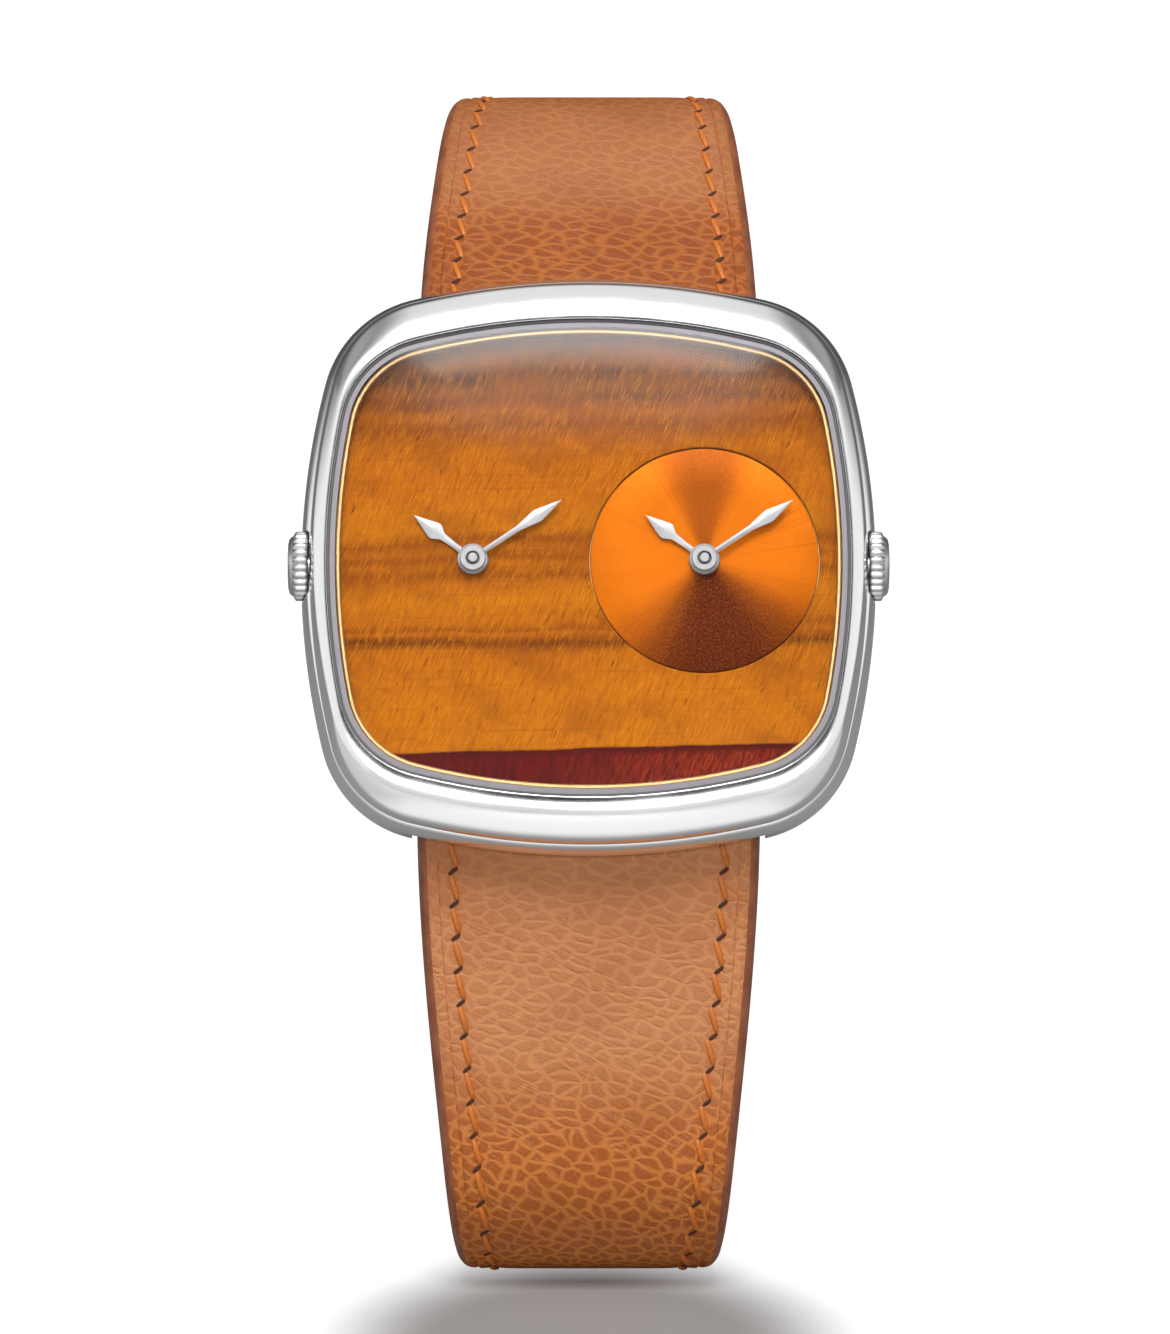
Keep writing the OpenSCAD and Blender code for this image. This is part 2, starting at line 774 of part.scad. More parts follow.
minute_outline = [[-0.05, 0.22], [0.2, 0.16], [0.5, 0.17], [0.73, 0.42], [1, 0.015]];
hour_outline = [[-0.05, 0.26], [0.3, 0.17], [0.52, 0.2], [0.62, 0.58], [0.7, 0.5], [1, 0.015]];

module minute_hand() {
    rotate([0, 0, -minute_angle])
        hand(minute_len, minute_outline, 0.62, 0.3 + 0.01, minute_hand_z, 0.06);
}

module hour_hand() {
    rotate([0, 0, -hour_angle])
        hand(hour_len, hour_outline, 0.98, hour_pipe_r + 0.01, hour_hand_z, 0);
}

// Crown parts, drawn along +x from the middle of the case.
module crown_frame() {
    translate([0, 0, crown_z])
        rotate([0, 90, 0])
            children();
}

module crown_tube() {
    crown_frame()
        translate([0, 0, cavity_w + slip])
            difference() {
                cylinder(r = crown_bore_r - skin, h = scoop_x - cavity_w - slip);
                translate([0, 0, -1])
                    cylinder(r = stem_r + slip, h = 9);
            }
    crown_frame()
        translate([0, 0, scoop_x - 0.1])
            difference() {
                cylinder(r = crown_tube_r, h = 0.1 + crown_tube_out);
                translate([0, 0, -1])
                    cylinder(r = stem_r + slip, h = 9);
            }
}

module crown_seal() {
    crown_frame()
        translate([0, 0, crown_x + 0.28])
            rotate_extrude($fn = 32)
                translate([(crown_tube_r + crown_hollow_r) / 2, 0])
                    circle(r = (crown_hollow_r - crown_tube_r) / 2 - 0.03, $fn = 16);
}

module crown() {
    crown_frame()
        difference() {
            union() {
                translate([0, 0, crown_x])
                    cylinder(r = crown_r - 0.12, h = crown_len);
                for (i = [0 : crown_flutes - 1])
                    rotate([0, 0, 360 * i / crown_flutes])
                        translate([crown_r - 0.17, -0.14, crown_x + 0.06])
                            cube([0.17, 0.28, crown_len - 0.12]);
                translate([0, 0, crown_x + crown_len - 0.01])
                    cylinder(r1 = crown_r - 0.3, r2 = crown_r - 0.7, h = cap_len);
            }
            translate([0, 0, crown_x - 1])
                cylinder(r = crown_hollow_r, h = 1 + crown_hollow_len);
            cylinder(r = stem_r - 0.1, h = crown_x + crown_len - 0.1);
        }
}

module stem() {
    crown_frame() {
        translate([0, 0, hands_x + stem_end_x])
            cylinder(r = stem_r - 0.1, h = crown_x + crown_len - 0.15 - hands_x - stem_end_x, $fn = 32);
        translate([0, 0, hands_x + stem_end_x])
            cylinder(r = stem_r, h = crown_x + 0.2 - hands_x - stem_end_x, $fn = 32);
    }
}

// The strap's centre line: [back, up, heading] at a distance s from its spring bar.
function lower_line(s) =
    let(s2 = s - foot_drop, s3 = s2 - foot_arc, s4 = s3 - flat_len, s5 = s4 - heel_arc)
    s2 < 0 ? [0, -s, -90] :
    s3 < 0 ? let(a = s2 / foot_r * 180 / PI)
        [foot_r - foot_r * cos(a), -foot_drop - foot_r * sin(a), a - 90] :
    s4 < 0 ? [foot_r + s3, -foot_drop - foot_r, 0] :
    s5 < 0 ? let(a = s4 / heel_r * 180 / PI)
        [heel_centre_y + heel_r * sin(a), heel_centre_z - heel_r * cos(a), a] :
    let(a = s5 / tail_r * 180 / PI - heel_angle)
        [tail_r * cos(a), tail_r * sin(a), 90 + a];

function upper_line(s) =
    let(s2 = s - upper_straight, s3 = s2 - knee_arc)
    s2 < 0 ? [upper_start.x + s * rise_dir.x, upper_start.y + s * rise_dir.y, upper_rise] :
    s3 < 0 ? let(a = upper_rise + 90 - s2 / knee_r * 180 / PI)
        [knee_centre.x + knee_r * cos(a), knee_centre.y + knee_r * sin(a), a - 90] :
    let(a = knee_angle - s3 / loop_r * 180 / PI)
        [loop_r * cos(a), loop_r * sin(a), a - 90];

// Width of a strap: a smooth taper from the case that ends before the buckle.
function strap_width(s) =
    let(t = max(0, min(s / taper_len, 1)))
    strap_w - (strap_w - strap_end_w) * (3 - 2 * t) * t * t;

// One ring of a strap layer between the offsets low and high from its centre line, outwards.
function strap_ring(line, w, low, high, side) =
    let(out = side * [sin(line[2]), -cos(line[2])])
    let(e = min(edge, (high - low) / 2.5, w / 4))
    let(flat = [[-w / 2, low + e * 0.4], [-w / 2 + e * 0.4, low],
        [w / 2 - e * 0.4, low], [w / 2, low + e * 0.4],
        [w / 2, high - e], [w / 2 - e, high], [-w / 2 + e, high], [-w / 2, high - e]])
    [for (p = flat) [side * p.x, line[0] + out.x * p.y, line[1] + out.y * p.y]];

function steps(a, b, n) = [for (i = [0 : n - 1]) a + (b - a) * i / n];

// The strap is thicker over its first stretch, where it is padded.
pad_len = 12;
pad_t = 2 * (strap_eye_r - 3 * skin) - strap_t;
function pad(s) = s < pad_len ? pad_t * pow(1 - s / pad_len, 1.5) / 2 : 0;
function padded(offset, s) = abs(offset) > strap_t / 4 ? offset + sign(offset) * pad(s) : offset;
seam = strap_t * (0.5 - leather_share);

lower_places = concat(
    steps(0, foot_drop, 9),
    steps(foot_drop, foot_drop + foot_arc, 9),
    [foot_drop + foot_arc],
    steps(foot_drop + foot_arc + flat_len, foot_drop + foot_arc + flat_len + heel_arc, 9),
    steps(foot_drop + foot_arc + flat_len + heel_arc, lower_len - strap_end_w / 2, 14)
);
tip_places = [for (a = [0 : 12 : 84]) lower_len - strap_end_w / 2 * (1 - sin(a))];
upper_places = concat(
    steps(0, upper_straight, 8),
    steps(upper_straight, upper_straight + knee_arc, 10),
    steps(upper_straight + knee_arc, upper_len - pin_eye_r / 3, 14),
    [upper_len - pin_eye_r / 3]
);

function lower_width(s) =
    let(past = s - lower_len + strap_end_w / 2)
    past < 0 ? strap_width(s) : 2 * sqrt(max(pow(strap_end_w / 2, 2) - pow(past, 2), 0));

module lower_layer(low, high, start) {
    places = [for (s = concat(lower_places, tip_places)) if (s >= start) s];
    loft([for (s = places)
        strap_ring(lower_line(s), lower_width(s), padded(low, s), padded(high, s), 1)]);
}

module upper_layer(low, high, start) {
    places = [for (s = upper_places) if (s >= start) s];
    loft([for (s = places)
        strap_ring(upper_line(s), strap_width(s), padded(low, s), padded(high, s), -1)]);
}

// Oval holes, cut square to the tail, at even steps round the loop.
module tail_holes() {
    step = hole_pitch / tail_r * 180 / PI;
    for (i = [0 : hole_count - 1])
        rotate([hole_angle + (i - holes_below) * step, 0, 0])
            for (z = [-hole_slot / 2, hole_slot / 2])
                translate([0, tail_r, z])
                    rotate([90, 0, 0])
                        cylinder(r = hole_r, h = 3 * strap_t, center = true, $fn = 24);
    for (i = [0 : hole_count - 1])
        rotate([hole_angle + (i - holes_below) * step, 0, 0])
            translate([-hole_r, tail_r - 1.5 * strap_t, -hole_slot / 2])
                cube([2 * hole_r, 3 * strap_t, hole_slot]);
}

module below_table() {
    translate([-far, -far, -bar_height - far])
        cube([2 * far, 4 * far, far]);
}

module eye(at, w, r) {
    translate([0, at.x, at.y])
        rotate([0, 90, 0])
            cylinder(r = r, h = w, center = true);
}

module eye_bore(at, bore) {
    translate([0, at.x, at.y])
        rotate([0, 90, 0])
            cylinder(r = bore, h = 2 * far, center = true);
}

module lower_strap_leather() {
    color("peru") in_loop()
        difference() {
            union() {
                lower_layer(seam, strap_t / 2 + skin, 0);
                eye([0, 0], strap_w, strap_eye_r);
            }
            eye_bore([0, 0], bar_r + slip);
            tail_holes();
            below_table();
        }
}

module lower_strap_lining() {
    color("burlywood") in_loop()
        difference() {
            lower_layer(-strap_t / 2, seam - skin, 0);
            eye_bore([0, 0], strap_eye_r + skin);
            tail_holes();
        }
}

pin_at = (loop_r - pin_drop) * [cos(pin_angle), sin(pin_angle)];

module upper_strap_leather() {
    color("peru") in_loop()
        difference() {
            union() {
                upper_layer(seam, strap_t / 2, 0);
                eye(upper_start, strap_w, strap_eye_r);
                eye(pin_at, strap_end_w, pin_eye_r);
            }
            eye_bore(upper_start, bar_r + slip);
            eye_bore(pin_at, pin_r + slip);
            rotate([pin_angle, 0, 0])
                translate([-tongue_slot / 2, loop_r - 5, -5])
                    cube([tongue_slot, 9, 8]);
        }
}

module upper_strap_lining() {
    color("burlywood") in_loop()
        difference() {
            upper_layer(-strap_t / 2, seam - skin, 0);
            eye_bore(upper_start, strap_eye_r + skin);
            eye_bore(pin_at, pin_eye_r + skin);
            rotate([pin_angle, 0, 0])
                translate([-tongue_slot / 2, loop_r - 5, -5])
                    cube([tongue_slot, 9, 8]);
        }
}

// A keeper is a flat band round both straps, bent with them.
module keeper(angle) {
    turn = keeper_len / loop_r * 180 / PI;
    low = loop_r - strap_t / 2 - keeper_clear;
    high = tail_r + strap_t / 2 + keeper_clear;
    half = strap_end_w / 2 + keeper_clear;
    rotate([angle - turn / 2, 0, 0])
        rotate([90, 0, 90])
            rotate_extrude(angle = turn, $fn = 360)
                difference() {
                    translate([low - keeper_t, -half - keeper_t])
                        square([high - low + 2 * keeper_t, 2 * (half + keeper_t)]);
                    translate([low, -half])
                        square([high - low, 2 * half]);
                }
}

module fixed_keeper() {
    color("saddlebrown") in_loop()
        keeper(fixed_keeper_angle);
}

module sliding_keeper() {
    color("saddlebrown") in_loop()
        keeper(sliding_keeper_angle);
}

outer_bar_at = outer_bar_r * [cos(outer_bar_angle), sin(outer_bar_angle)];

module buckle_frame() {
    color("silver") in_loop()
        difference() {
            union() {
                for (side = [-1, 1])
                    translate([side * (buckle_half_w + buckle_arm_w / 2), 0, 0])
                        hull() {
                            eye(pin_at, buckle_arm_w, 1.35);
                            eye(outer_bar_at, buckle_arm_w, buckle_bar_r);
                        }
                eye(outer_bar_at, 2 * buckle_half_w + buckle_arm_w, buckle_bar_r);
            }
            eye_bore(pin_at, pin_r - 0.2 + slip);
        }
}

module buckle_pin() {
    color("gray") in_loop() {
        eye(pin_at, 2 * buckle_half_w - 2 * slip, pin_r);
        eye(pin_at, 2 * (buckle_half_w + buckle_arm_w) - 0.2, pin_r - 0.2);
    }
}

function polar(r, a) = r * [cos(a), sin(a)];

module tongue_joint(p, r) {
    translate([0, p.x, p.y])
        sphere(r, $fn = 24);
}

module buckle_tongue() {
    rise = polar(loop_r + strap_t / 2 - 0.2, pin_angle - 2.6);
    top = polar(tail_r + strap_t / 2 + tongue_r + 0.1, hole_angle - 0.9);
    rest = polar(outer_bar_r + buckle_bar_r + tongue_r + 0.05, outer_bar_angle);
    tip = polar(outer_bar_r + buckle_bar_r + tongue_r - 0.1, outer_bar_angle - 1.2);
    color("silver") in_loop()
        difference() {
            union() {
                eye(pin_at, 2 * tongue_r, pin_r + slip + 0.55);
                hull() {
                    tongue_joint(polar(loop_r - pin_drop, pin_angle - 1.3), tongue_r);
                    tongue_joint(rise, tongue_r);
                }
                hull() {
                    tongue_joint(rise, tongue_r);
                    tongue_joint(top, tongue_r);
                }
                hull() {
                    tongue_joint(top, tongue_r);
                    tongue_joint(rest, tongue_r);
                }
                hull() {
                    tongue_joint(rest, tongue_r);
                    tongue_joint(tip, tongue_r * 0.9);
                }
            }
            eye_bore(pin_at, pin_r + slip);
        }
}

module of_side(side, shade) {
    color(shade) in_case() {
        if (side == "left")
            left_side() children();
        else
            right_side() children();
    }
}

module hands_of_side(side, shade) {
    color(shade) in_case()
        translate([side == "left" ? -hands_x : hands_x, 0, 0])
            children();
}

module crown_of_side(side, shade) {
    color(shade) in_case()
        rotate([0, 0, side == "left" ? 180 : 0])
            children();
}

case_body();
crystal();
crystal_gasket();
dial_flange();
stone_dial();
small_dial();
dial_plate();
movement_holder();
case_back();
case_back_gasket();
case_back_screws();
upper_spring_bar();
lower_spring_bar();
of_side("left", "goldenrod") main_plate();  // left_main_plate
of_side("right", "goldenrod") main_plate();  // right_main_plate
of_side("left", "khaki") train_bridge();  // left_train_bridge
of_side("right", "khaki") train_bridge();  // right_train_bridge
of_side("left", "slategray") bridge_screws();  // left_bridge_screws
of_side("right", "slategray") bridge_screws();  // right_bridge_screws
of_side("left", "lightgray") battery();  // left_battery
of_side("right", "lightgray") battery();  // right_battery
of_side("left", "orangered") coil();  // left_coil
of_side("right", "orangered") coil();  // right_coil
of_side("left", "lightslategray") stator();  // left_stator
of_side("right", "lightslategray") stator();  // right_stator
of_side("left", "darkgreen") circuit_board();  // left_circuit_board
of_side("right", "darkgreen") circuit_board();  // right_circuit_board
of_side("left", "dimgray") rotor();  // left_rotor
of_side("right", "dimgray") rotor();  // right_rotor
of_side("left", "gold") intermediate_wheel();  // left_intermediate_wheel
of_side("right", "gold") intermediate_wheel();  // right_intermediate_wheel
of_side("left", "gold") centre_wheel();  // left_centre_wheel
of_side("right", "gold") centre_wheel();  // right_centre_wheel
of_side("left", "gold") minute_wheel();  // left_minute_wheel
of_side("right", "gold") minute_wheel();  // right_minute_wheel
of_side("left", "gold") hour_wheel();  // left_hour_wheel
of_side("right", "gold") hour_wheel();  // right_hour_wheel
hands_of_side("left", "silver") hour_hand();  // left_hour_hand
hands_of_side("right", "silver") hour_hand();  // right_hour_hand
hands_of_side("left", "silver") minute_hand();  // left_minute_hand
hands_of_side("right", "silver") minute_hand();  // right_minute_hand
crown_of_side("left", "gray") crown_tube();  // left_crown_tube
crown_of_side("right", "gray") crown_tube();  // right_crown_tube
crown_of_side("left", "black") crown_seal();  // left_crown_seal
crown_of_side("right", "black") crown_seal();  // right_crown_seal
crown_of_side("left", "silver") crown();  // left_crown
crown_of_side("right", "silver") crown();  // right_crown
crown_of_side("left", "gray") stem();  // left_stem
crown_of_side("right", "gray") stem();  // right_stem
upper_strap_leather();
upper_strap_lining();
lower_strap_leather();
lower_strap_lining();
fixed_keeper();
sliding_keeper();
buckle_frame();
buckle_pin();
buckle_tongue();
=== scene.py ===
import json
import math
import bmesh
import bpy
from mathutils import Matrix, Vector


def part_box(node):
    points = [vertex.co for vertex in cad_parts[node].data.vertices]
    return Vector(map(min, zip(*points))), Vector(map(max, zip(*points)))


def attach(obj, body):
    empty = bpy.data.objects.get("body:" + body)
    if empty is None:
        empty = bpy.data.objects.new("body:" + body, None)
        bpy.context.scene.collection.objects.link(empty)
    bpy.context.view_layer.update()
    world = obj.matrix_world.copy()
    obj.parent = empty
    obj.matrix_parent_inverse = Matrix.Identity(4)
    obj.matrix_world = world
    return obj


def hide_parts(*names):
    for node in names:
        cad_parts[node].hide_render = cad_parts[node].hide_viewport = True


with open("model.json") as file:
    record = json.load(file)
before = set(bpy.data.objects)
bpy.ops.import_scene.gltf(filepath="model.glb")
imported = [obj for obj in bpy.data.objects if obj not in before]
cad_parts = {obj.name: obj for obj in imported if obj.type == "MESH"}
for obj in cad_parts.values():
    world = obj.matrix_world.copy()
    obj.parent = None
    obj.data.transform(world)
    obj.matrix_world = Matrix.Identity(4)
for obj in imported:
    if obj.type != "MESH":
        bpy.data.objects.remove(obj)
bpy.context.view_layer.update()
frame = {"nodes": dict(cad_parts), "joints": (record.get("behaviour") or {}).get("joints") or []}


# The case's own axes: x to the right, y towards twelve, z out of the dial, counted from the
# middle of the case back. They come from the axes on which the two pairs of hands turn.
mm = 0.001
joint = {j["name"]: j for j in frame["joints"]}
hand_axis = {side: Vector(joint[side + "_minute_turn"]["pos_m"]) for side in ("left", "right")}
outward = Vector(joint["right_minute_turn"]["axis"]).normalized()
across = Vector((1, 0, 0))
upward = outward.cross(across)
mark_height = 2 * mm
case_centre = (hand_axis["left"] + hand_axis["right"]) / 2 - outward * mark_height
in_case = Matrix.Translation(case_centre) @ Matrix((across, upward, outward)).transposed().to_4x4()
case_turn = in_case.to_euler()
hands_x = (hand_axis["right"] - hand_axis["left"]).x / 2


def reach(node, direction):
    """The lowest and highest place of a CAD node along a direction, from the middle of the case back."""
    places = [(v.co - case_centre).dot(direction) for v in frame["nodes"][node].data.vertices]
    return min(places), max(places)


def outline_of(node, corner):
    """Half the width and half the height of a CAD node, with its corners' radius."""
    return reach(node, across)[1], reach(node, upward)[1], corner


# Case body: one block of steel with a rounded lip over a thin flank, polished all over.
# Its skin is ring after ring of the cushion outline, joined into one closed wall, and then the
# two strap pockets and the two crown scoops are milled out and the lugs' bosses are added.
class Wire:
    """A shader socket that Python's own operators do sums on."""

    def __init__(self, finish, socket):
        self.finish = finish
        self.socket = socket

    def also(self, output):
        return Wire(self.finish, self.socket.node.outputs[output])

    def __add__(self, other):
        return self.finish.sums("ADD", self, other)

    def __sub__(self, other):
        return self.finish.sums("SUBTRACT", self, other)

    def __rsub__(self, other):
        return self.finish.sums("SUBTRACT", other, self)

    def __mul__(self, other):
        return self.finish.sums("MULTIPLY", self, other)

    __radd__ = __add__
    __rmul__ = __mul__


class Finish:
    """One material or world, made of nodes. A node takes its settings first and then its sockets."""

    def __init__(self, name, holder=None):
        self.holder = holder or bpy.data.materials.new(name)
        self.holder.use_nodes = True
        self.tree = self.holder.node_tree
        self.tree.nodes.clear()

    def node(self, kind, sockets, output=0, stops=(), **settings):
        made = self.tree.nodes.new("ShaderNode" + kind)
        for name, value in settings.items():
            setattr(made, name, value)
        for number, (place, shade) in enumerate(stops):
            ramp = made.color_ramp.elements
            stop = ramp[number] if number < len(ramp) else ramp.new(place)
            stop.position = place
            stop.color = shade
        for name, value in sockets.items():
            if isinstance(value, Wire):
                self.tree.links.new(value.socket, made.inputs[name])
            else:
                made.inputs[name].default_value = value
        return Wire(self, made.outputs[output]) if made.outputs else None

    def sums(self, operation, *values):
        return self.node("Math", dict(enumerate(values)), operation=operation)

    def on_case(self):
        """Places in the case's own axes, in millimetres."""
        place = self.node("TexCoord", {}, output="Object")
        return self.node("Mapping", {"Vector": place, "Location": case_centre, "Rotation": case_turn,
                                     "Scale": (mm, mm, mm)}, vector_type="TEXTURE")

    def noise(self, place, scale, detail=2.0, roughness=0.5):
        return self.node("TexNoise", {"Vector": place, "Scale": scale, "Detail": detail,
                                      "Roughness": roughness})

    def stretch(self, place, scale, turn=0.0, move=(0, 0, 0)):
        """Places whose pattern is turned, and then drawn out where the scale is small."""
        return self.node("Mapping", {"Vector": place, "Location": move, "Rotation": (0, 0, turn),
                                     "Scale": [1 / share for share in scale]}, vector_type="TEXTURE")

    def ramp(self, value, low, high, first=0.0, last=1.0):
        return self.node("MapRange", {"Value": value, "From Min": low, "From Max": high,
                                      "To Min": first, "To Max": last}, interpolation_type="SMOOTHSTEP")

    def mix(self, share, first, second, blend_type="MIX"):
        return self.node("Mix", {0: share, 6: first, 7: second}, output=2, data_type="RGBA",
                         blend_type=blend_type)

    def bump(self, strength, distance, height):
        return self.node("Bump", {"Strength": strength, "Distance": distance * mm, "Height": height})

    def surface(self, shader):
        self.node("OutputMaterial", {"Surface": shader})
        return self.holder

    def skin(self, sockets):
        return self.surface(self.node("BsdfPrincipled", sockets))


def shade(red, green, blue):
    """A colour as it looks, 0 to 255, in the shaders' own linear light."""
    return tuple(((c / 255 + 0.055) / 1.055) ** 2.4 for c in (red, green, blue)) + (1.0,)


def polished(name, tone, roughness):
    """Polished metal: faint smears in its gloss and hairlines that only the light finds."""
    metal = Finish(name)
    place = metal.on_case()
    smear = metal.noise(place, 0.35, 3.0)
    hair = metal.noise(metal.stretch(place, (14, 1.5, 14), turn=0.5), 1.0, 3.0)
    return metal.skin({"Base Color": tone, "Metallic": 1.0, "Roughness": smear * roughness + roughness * 0.6,
                       "Normal": metal.bump(0.04, 0.01, hair)})


def cushion(bm, size, height):
    """Spins one ring of the cushion outline out of eight arcs, adds it and returns its verts.
    size is half the width, half the height and the corner's radius."""
    half_wide, half_high, corner = size
    side_r = case_side_r - case_size[0] + half_wide
    end_r = case_end_r - case_size[1] + half_high
    side = Vector((half_wide - side_r, 0, height))
    end = Vector((0, half_high - end_r, height))
    apart = end - side
    along = (apart.length_squared + (side_r - corner) ** 2 - (end_r - corner) ** 2) / (2 * apart.length)
    off = math.sqrt((side_r - corner) ** 2 - along ** 2)
    turn = side + (apart * along + Vector((-apart.y, apart.x, 0)) * off) / apart.length
    from_side = math.atan2(turn.y, turn.x - side.x)
    to_end = math.atan2(turn.y - end.y, turn.x)
    bend = to_end - from_side
    top = math.pi - 2 * to_end
    ring = bmesh.new()
    first = ring.verts.new(side + side_r * Vector((math.cos(from_side), -math.sin(from_side), 0)))
    last = first
    for centre, angle, steps, flip in (
            (side, 2 * from_side, side_steps, (1, 1)), (turn, bend, corner_steps, (1, 1)),
            (end, top, end_steps, (1, 1)), (turn, bend, corner_steps, (-1, 1)),
            (side, 2 * from_side, side_steps, (-1, 1)), (turn, bend, corner_steps, (-1, -1)),
            (end, top, end_steps, (1, -1)), (turn, bend, corner_steps, (1, -1))):
        spun = bmesh.ops.spin(ring, geom=[last], cent=(centre.x * flip[0], centre.y * flip[1], height),
                              axis=(0, 0, 1), angle=angle, steps=steps)
        last = verts_of(spun["geom_last"])[0]
    bmesh.ops.pointmerge(ring, verts=[first, last], merge_co=first.co)
    return add_ring(bm, ring)


def verts_of(geom):
    return [v for v in geom if isinstance(v, bmesh.types.BMVert)]


def draw_out(bm, chain):
    """Extrudes a chain of edges and returns the new verts and the new chain."""
    grown = bmesh.ops.extrude_edge_only(bm, edges=chain)["geom"]
    kept = set(verts_of(grown))
    return verts_of(grown), [e for e in grown if isinstance(e, bmesh.types.BMEdge) and set(e.verts) <= kept]


def add_ring(bm, ring):
    """Moves a ring out of its own bmesh into another one and returns its verts in order."""
    before = set(bm.verts)
    mesh = bpy.data.meshes.new("ring")
    ring.to_mesh(mesh)
    ring.free()
    bm.from_mesh(mesh)
    bpy.data.meshes.remove(mesh)
    return [v for v in bm.verts if v not in before]


def inside(size, inset):
    return tuple(s - inset for s in size)


def between(first, second, share):
    return tuple(a + (b - a) * share for a, b in zip(first, second))


def wall(bm, rings):
    """Joins each ring of verts to the next one with faces all the way round."""
    for lower, upper in zip(rings, rings[1:]):
        for number in range(len(lower)):
            bm.faces.new((lower[number - 1], lower[number], upper[number], upper[number - 1]))


def ring_edges(bm, ring):
    return [bm.edges.get(pair) for pair in zip(ring, ring[1:] + ring[:1])]


def in_scene(name, data):
    made = bpy.data.objects.new(name, data)
    bpy.context.scene.collection.objects.link(made)
    return made


def piece(bm, name, finishes, body, slot, *stands_for, place=None, crease=35):
    """A finished piece: the mesh goes to its place and rides on its body."""
    bmesh.ops.remove_doubles(bm, verts=bm.verts, dist=0.001 * mm)
    bmesh.ops.recalc_face_normals(bm, faces=bm.faces)
    if place is not None:
        bmesh.ops.transform(bm, matrix=place, verts=bm.verts)
    mesh = bpy.data.meshes.new(name)
    bm.to_mesh(mesh)
    bm.free()
    for finish in finishes:
        mesh.materials.append(finish)
    mesh.shade_smooth()
    mesh.set_sharp_from_angle(angle=math.radians(crease))
    made = in_scene(name, mesh)
    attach(made, body)
    if stands_for:
        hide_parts(*stands_for)


def carve(bm, tool, operation="DIFFERENCE"):
    """Cuts one bmesh with another, or adds it, by an exact boolean."""
    blanks = []
    for source in (bm, tool):
        bmesh.ops.recalc_face_normals(source, faces=source.faces)
        mesh = bpy.data.meshes.new("blank")
        source.to_mesh(mesh)
        blanks.append(in_scene("blank", mesh))
    tool.free()
    cut = blanks[0].modifiers.new("cut", "BOOLEAN")
    cut.operation = operation
    cut.solver = "EXACT"
    cut.object = blanks[1]
    bpy.context.view_layer.update()
    result = bpy.data.meshes.new_from_object(blanks[0].evaluated_get(bpy.context.evaluated_depsgraph_get()))
    bm.clear()
    bm.from_mesh(result)
    for blank in blanks:
        mesh = blank.data
        bpy.data.objects.remove(blank)
        bpy.data.meshes.remove(mesh)
    bpy.data.meshes.remove(result)


def block(low, high):
    """A box between two corners."""
    bm = bmesh.new()
    bmesh.ops.create_cube(bm, size=1)
    bmesh.ops.scale(bm, vec=Vector(high) - Vector(low), verts=bm.verts)
    bmesh.ops.translate(bm, vec=(Vector(low) + Vector(high)) / 2, verts=bm.verts)
    return bm


def rod(start, end, radius, segments=64):
    """A round bar between two points."""
    bm = bmesh.new()
    line = Vector(end) - Vector(start)
    bmesh.ops.create_cone(bm, cap_ends=True, segments=segments, radius1=radius, radius2=radius,
                          depth=line.length)
    turn = Vector((0, 0, 1)).rotation_difference(line).to_matrix().to_4x4()
    place = Matrix.Translation((Vector(start) + Vector(end)) / 2) @ turn
    bmesh.ops.transform(bm, matrix=place, verts=bm.verts)
    return bm


side_steps, corner_steps, end_steps = 44, 30, 44
case_side_r = 50 * mm
case_end_r = 48 * mm
case_size = (18.5 * mm, 19 * mm, 7.6 * mm)
opening = (16.75 * mm, 15.6 * mm, 6.4 * mm)
cavity = (15.4 * mm, 13 * mm, 5.2 * mm)
back_size = outline_of("case_back", 5.2 * mm)
rim_z = reach("case_body", outward)[1]
dial_seat_z = reach("dial_plate", outward)[0]
crystal_z = reach("crystal", outward)[0]
skirt_z, belly_z, crease_z = 0.4 * mm, 2.4 * mm, 4.1 * mm
skirt_inset, crease_inset, crease_w, lip_w = 0.9 * mm, 0.55 * mm, 0.06 * mm, 0.03 * mm
dome_z = crease_z + 0.04 * mm
seat_w, back_gap, bay_z = 0.5 * mm, 0.1 * mm, 1.1 * mm
flank_steps, dome_steps = 7, 22
body = bmesh.new()
rings = []
for step in range(flank_steps):
    a = math.pi / 2 * step / flank_steps
    rings.append((inside(case_size, skirt_inset * (1 - math.sin(a))),
                  skirt_z + (belly_z - skirt_z) * (1 - math.cos(a))))
for step in range(flank_steps + 1):
    share = step / flank_steps
    rings.append((inside(case_size, crease_inset * share ** 2), belly_z + (crease_z - belly_z) * share))
dome_foot = inside(case_size, crease_inset + crease_w)
lip = inside(opening, -lip_w)
for step in range(dome_steps + 1):
    a = math.pi / 2 * step / dome_steps
    rings.append((between(dome_foot, lip, 1 - math.cos(a)), dome_z + (rim_z - dome_z) * math.sin(a)))
roll_steps = 5
for step in range(1, roll_steps + 1):
    a = math.pi / 2 * step / roll_steps
    rings.append((inside(lip, lip_w * math.sin(a)), rim_z - lip_w * (1 - math.cos(a))))
seat = inside(opening, seat_w)
back_bay = inside(back_size, -back_gap)
rings += [(opening, crystal_z), (seat, crystal_z), (seat, dial_seat_z), (cavity, dial_seat_z),
          (cavity, bay_z), (back_bay, bay_z), (back_bay, skirt_z)]
loops = [cushion(body, size, height) for size, height in rings]
wall(body, loops + loops[:1])
pocket_w, pocket_y, pocket_z = 22.6 * mm, 13.7 * mm, 3 * mm
bar_y, bar_z = 15.7 * mm, 1 * mm
lug_r, lug_w = 1.1 * mm, 1.6 * mm
far = 30 * mm
for way in (-1, 1):
    near, off = sorted((way * pocket_y, way * far))
    carve(body, block((-pocket_w / 2, near, -far), (pocket_w / 2, off, pocket_z)))
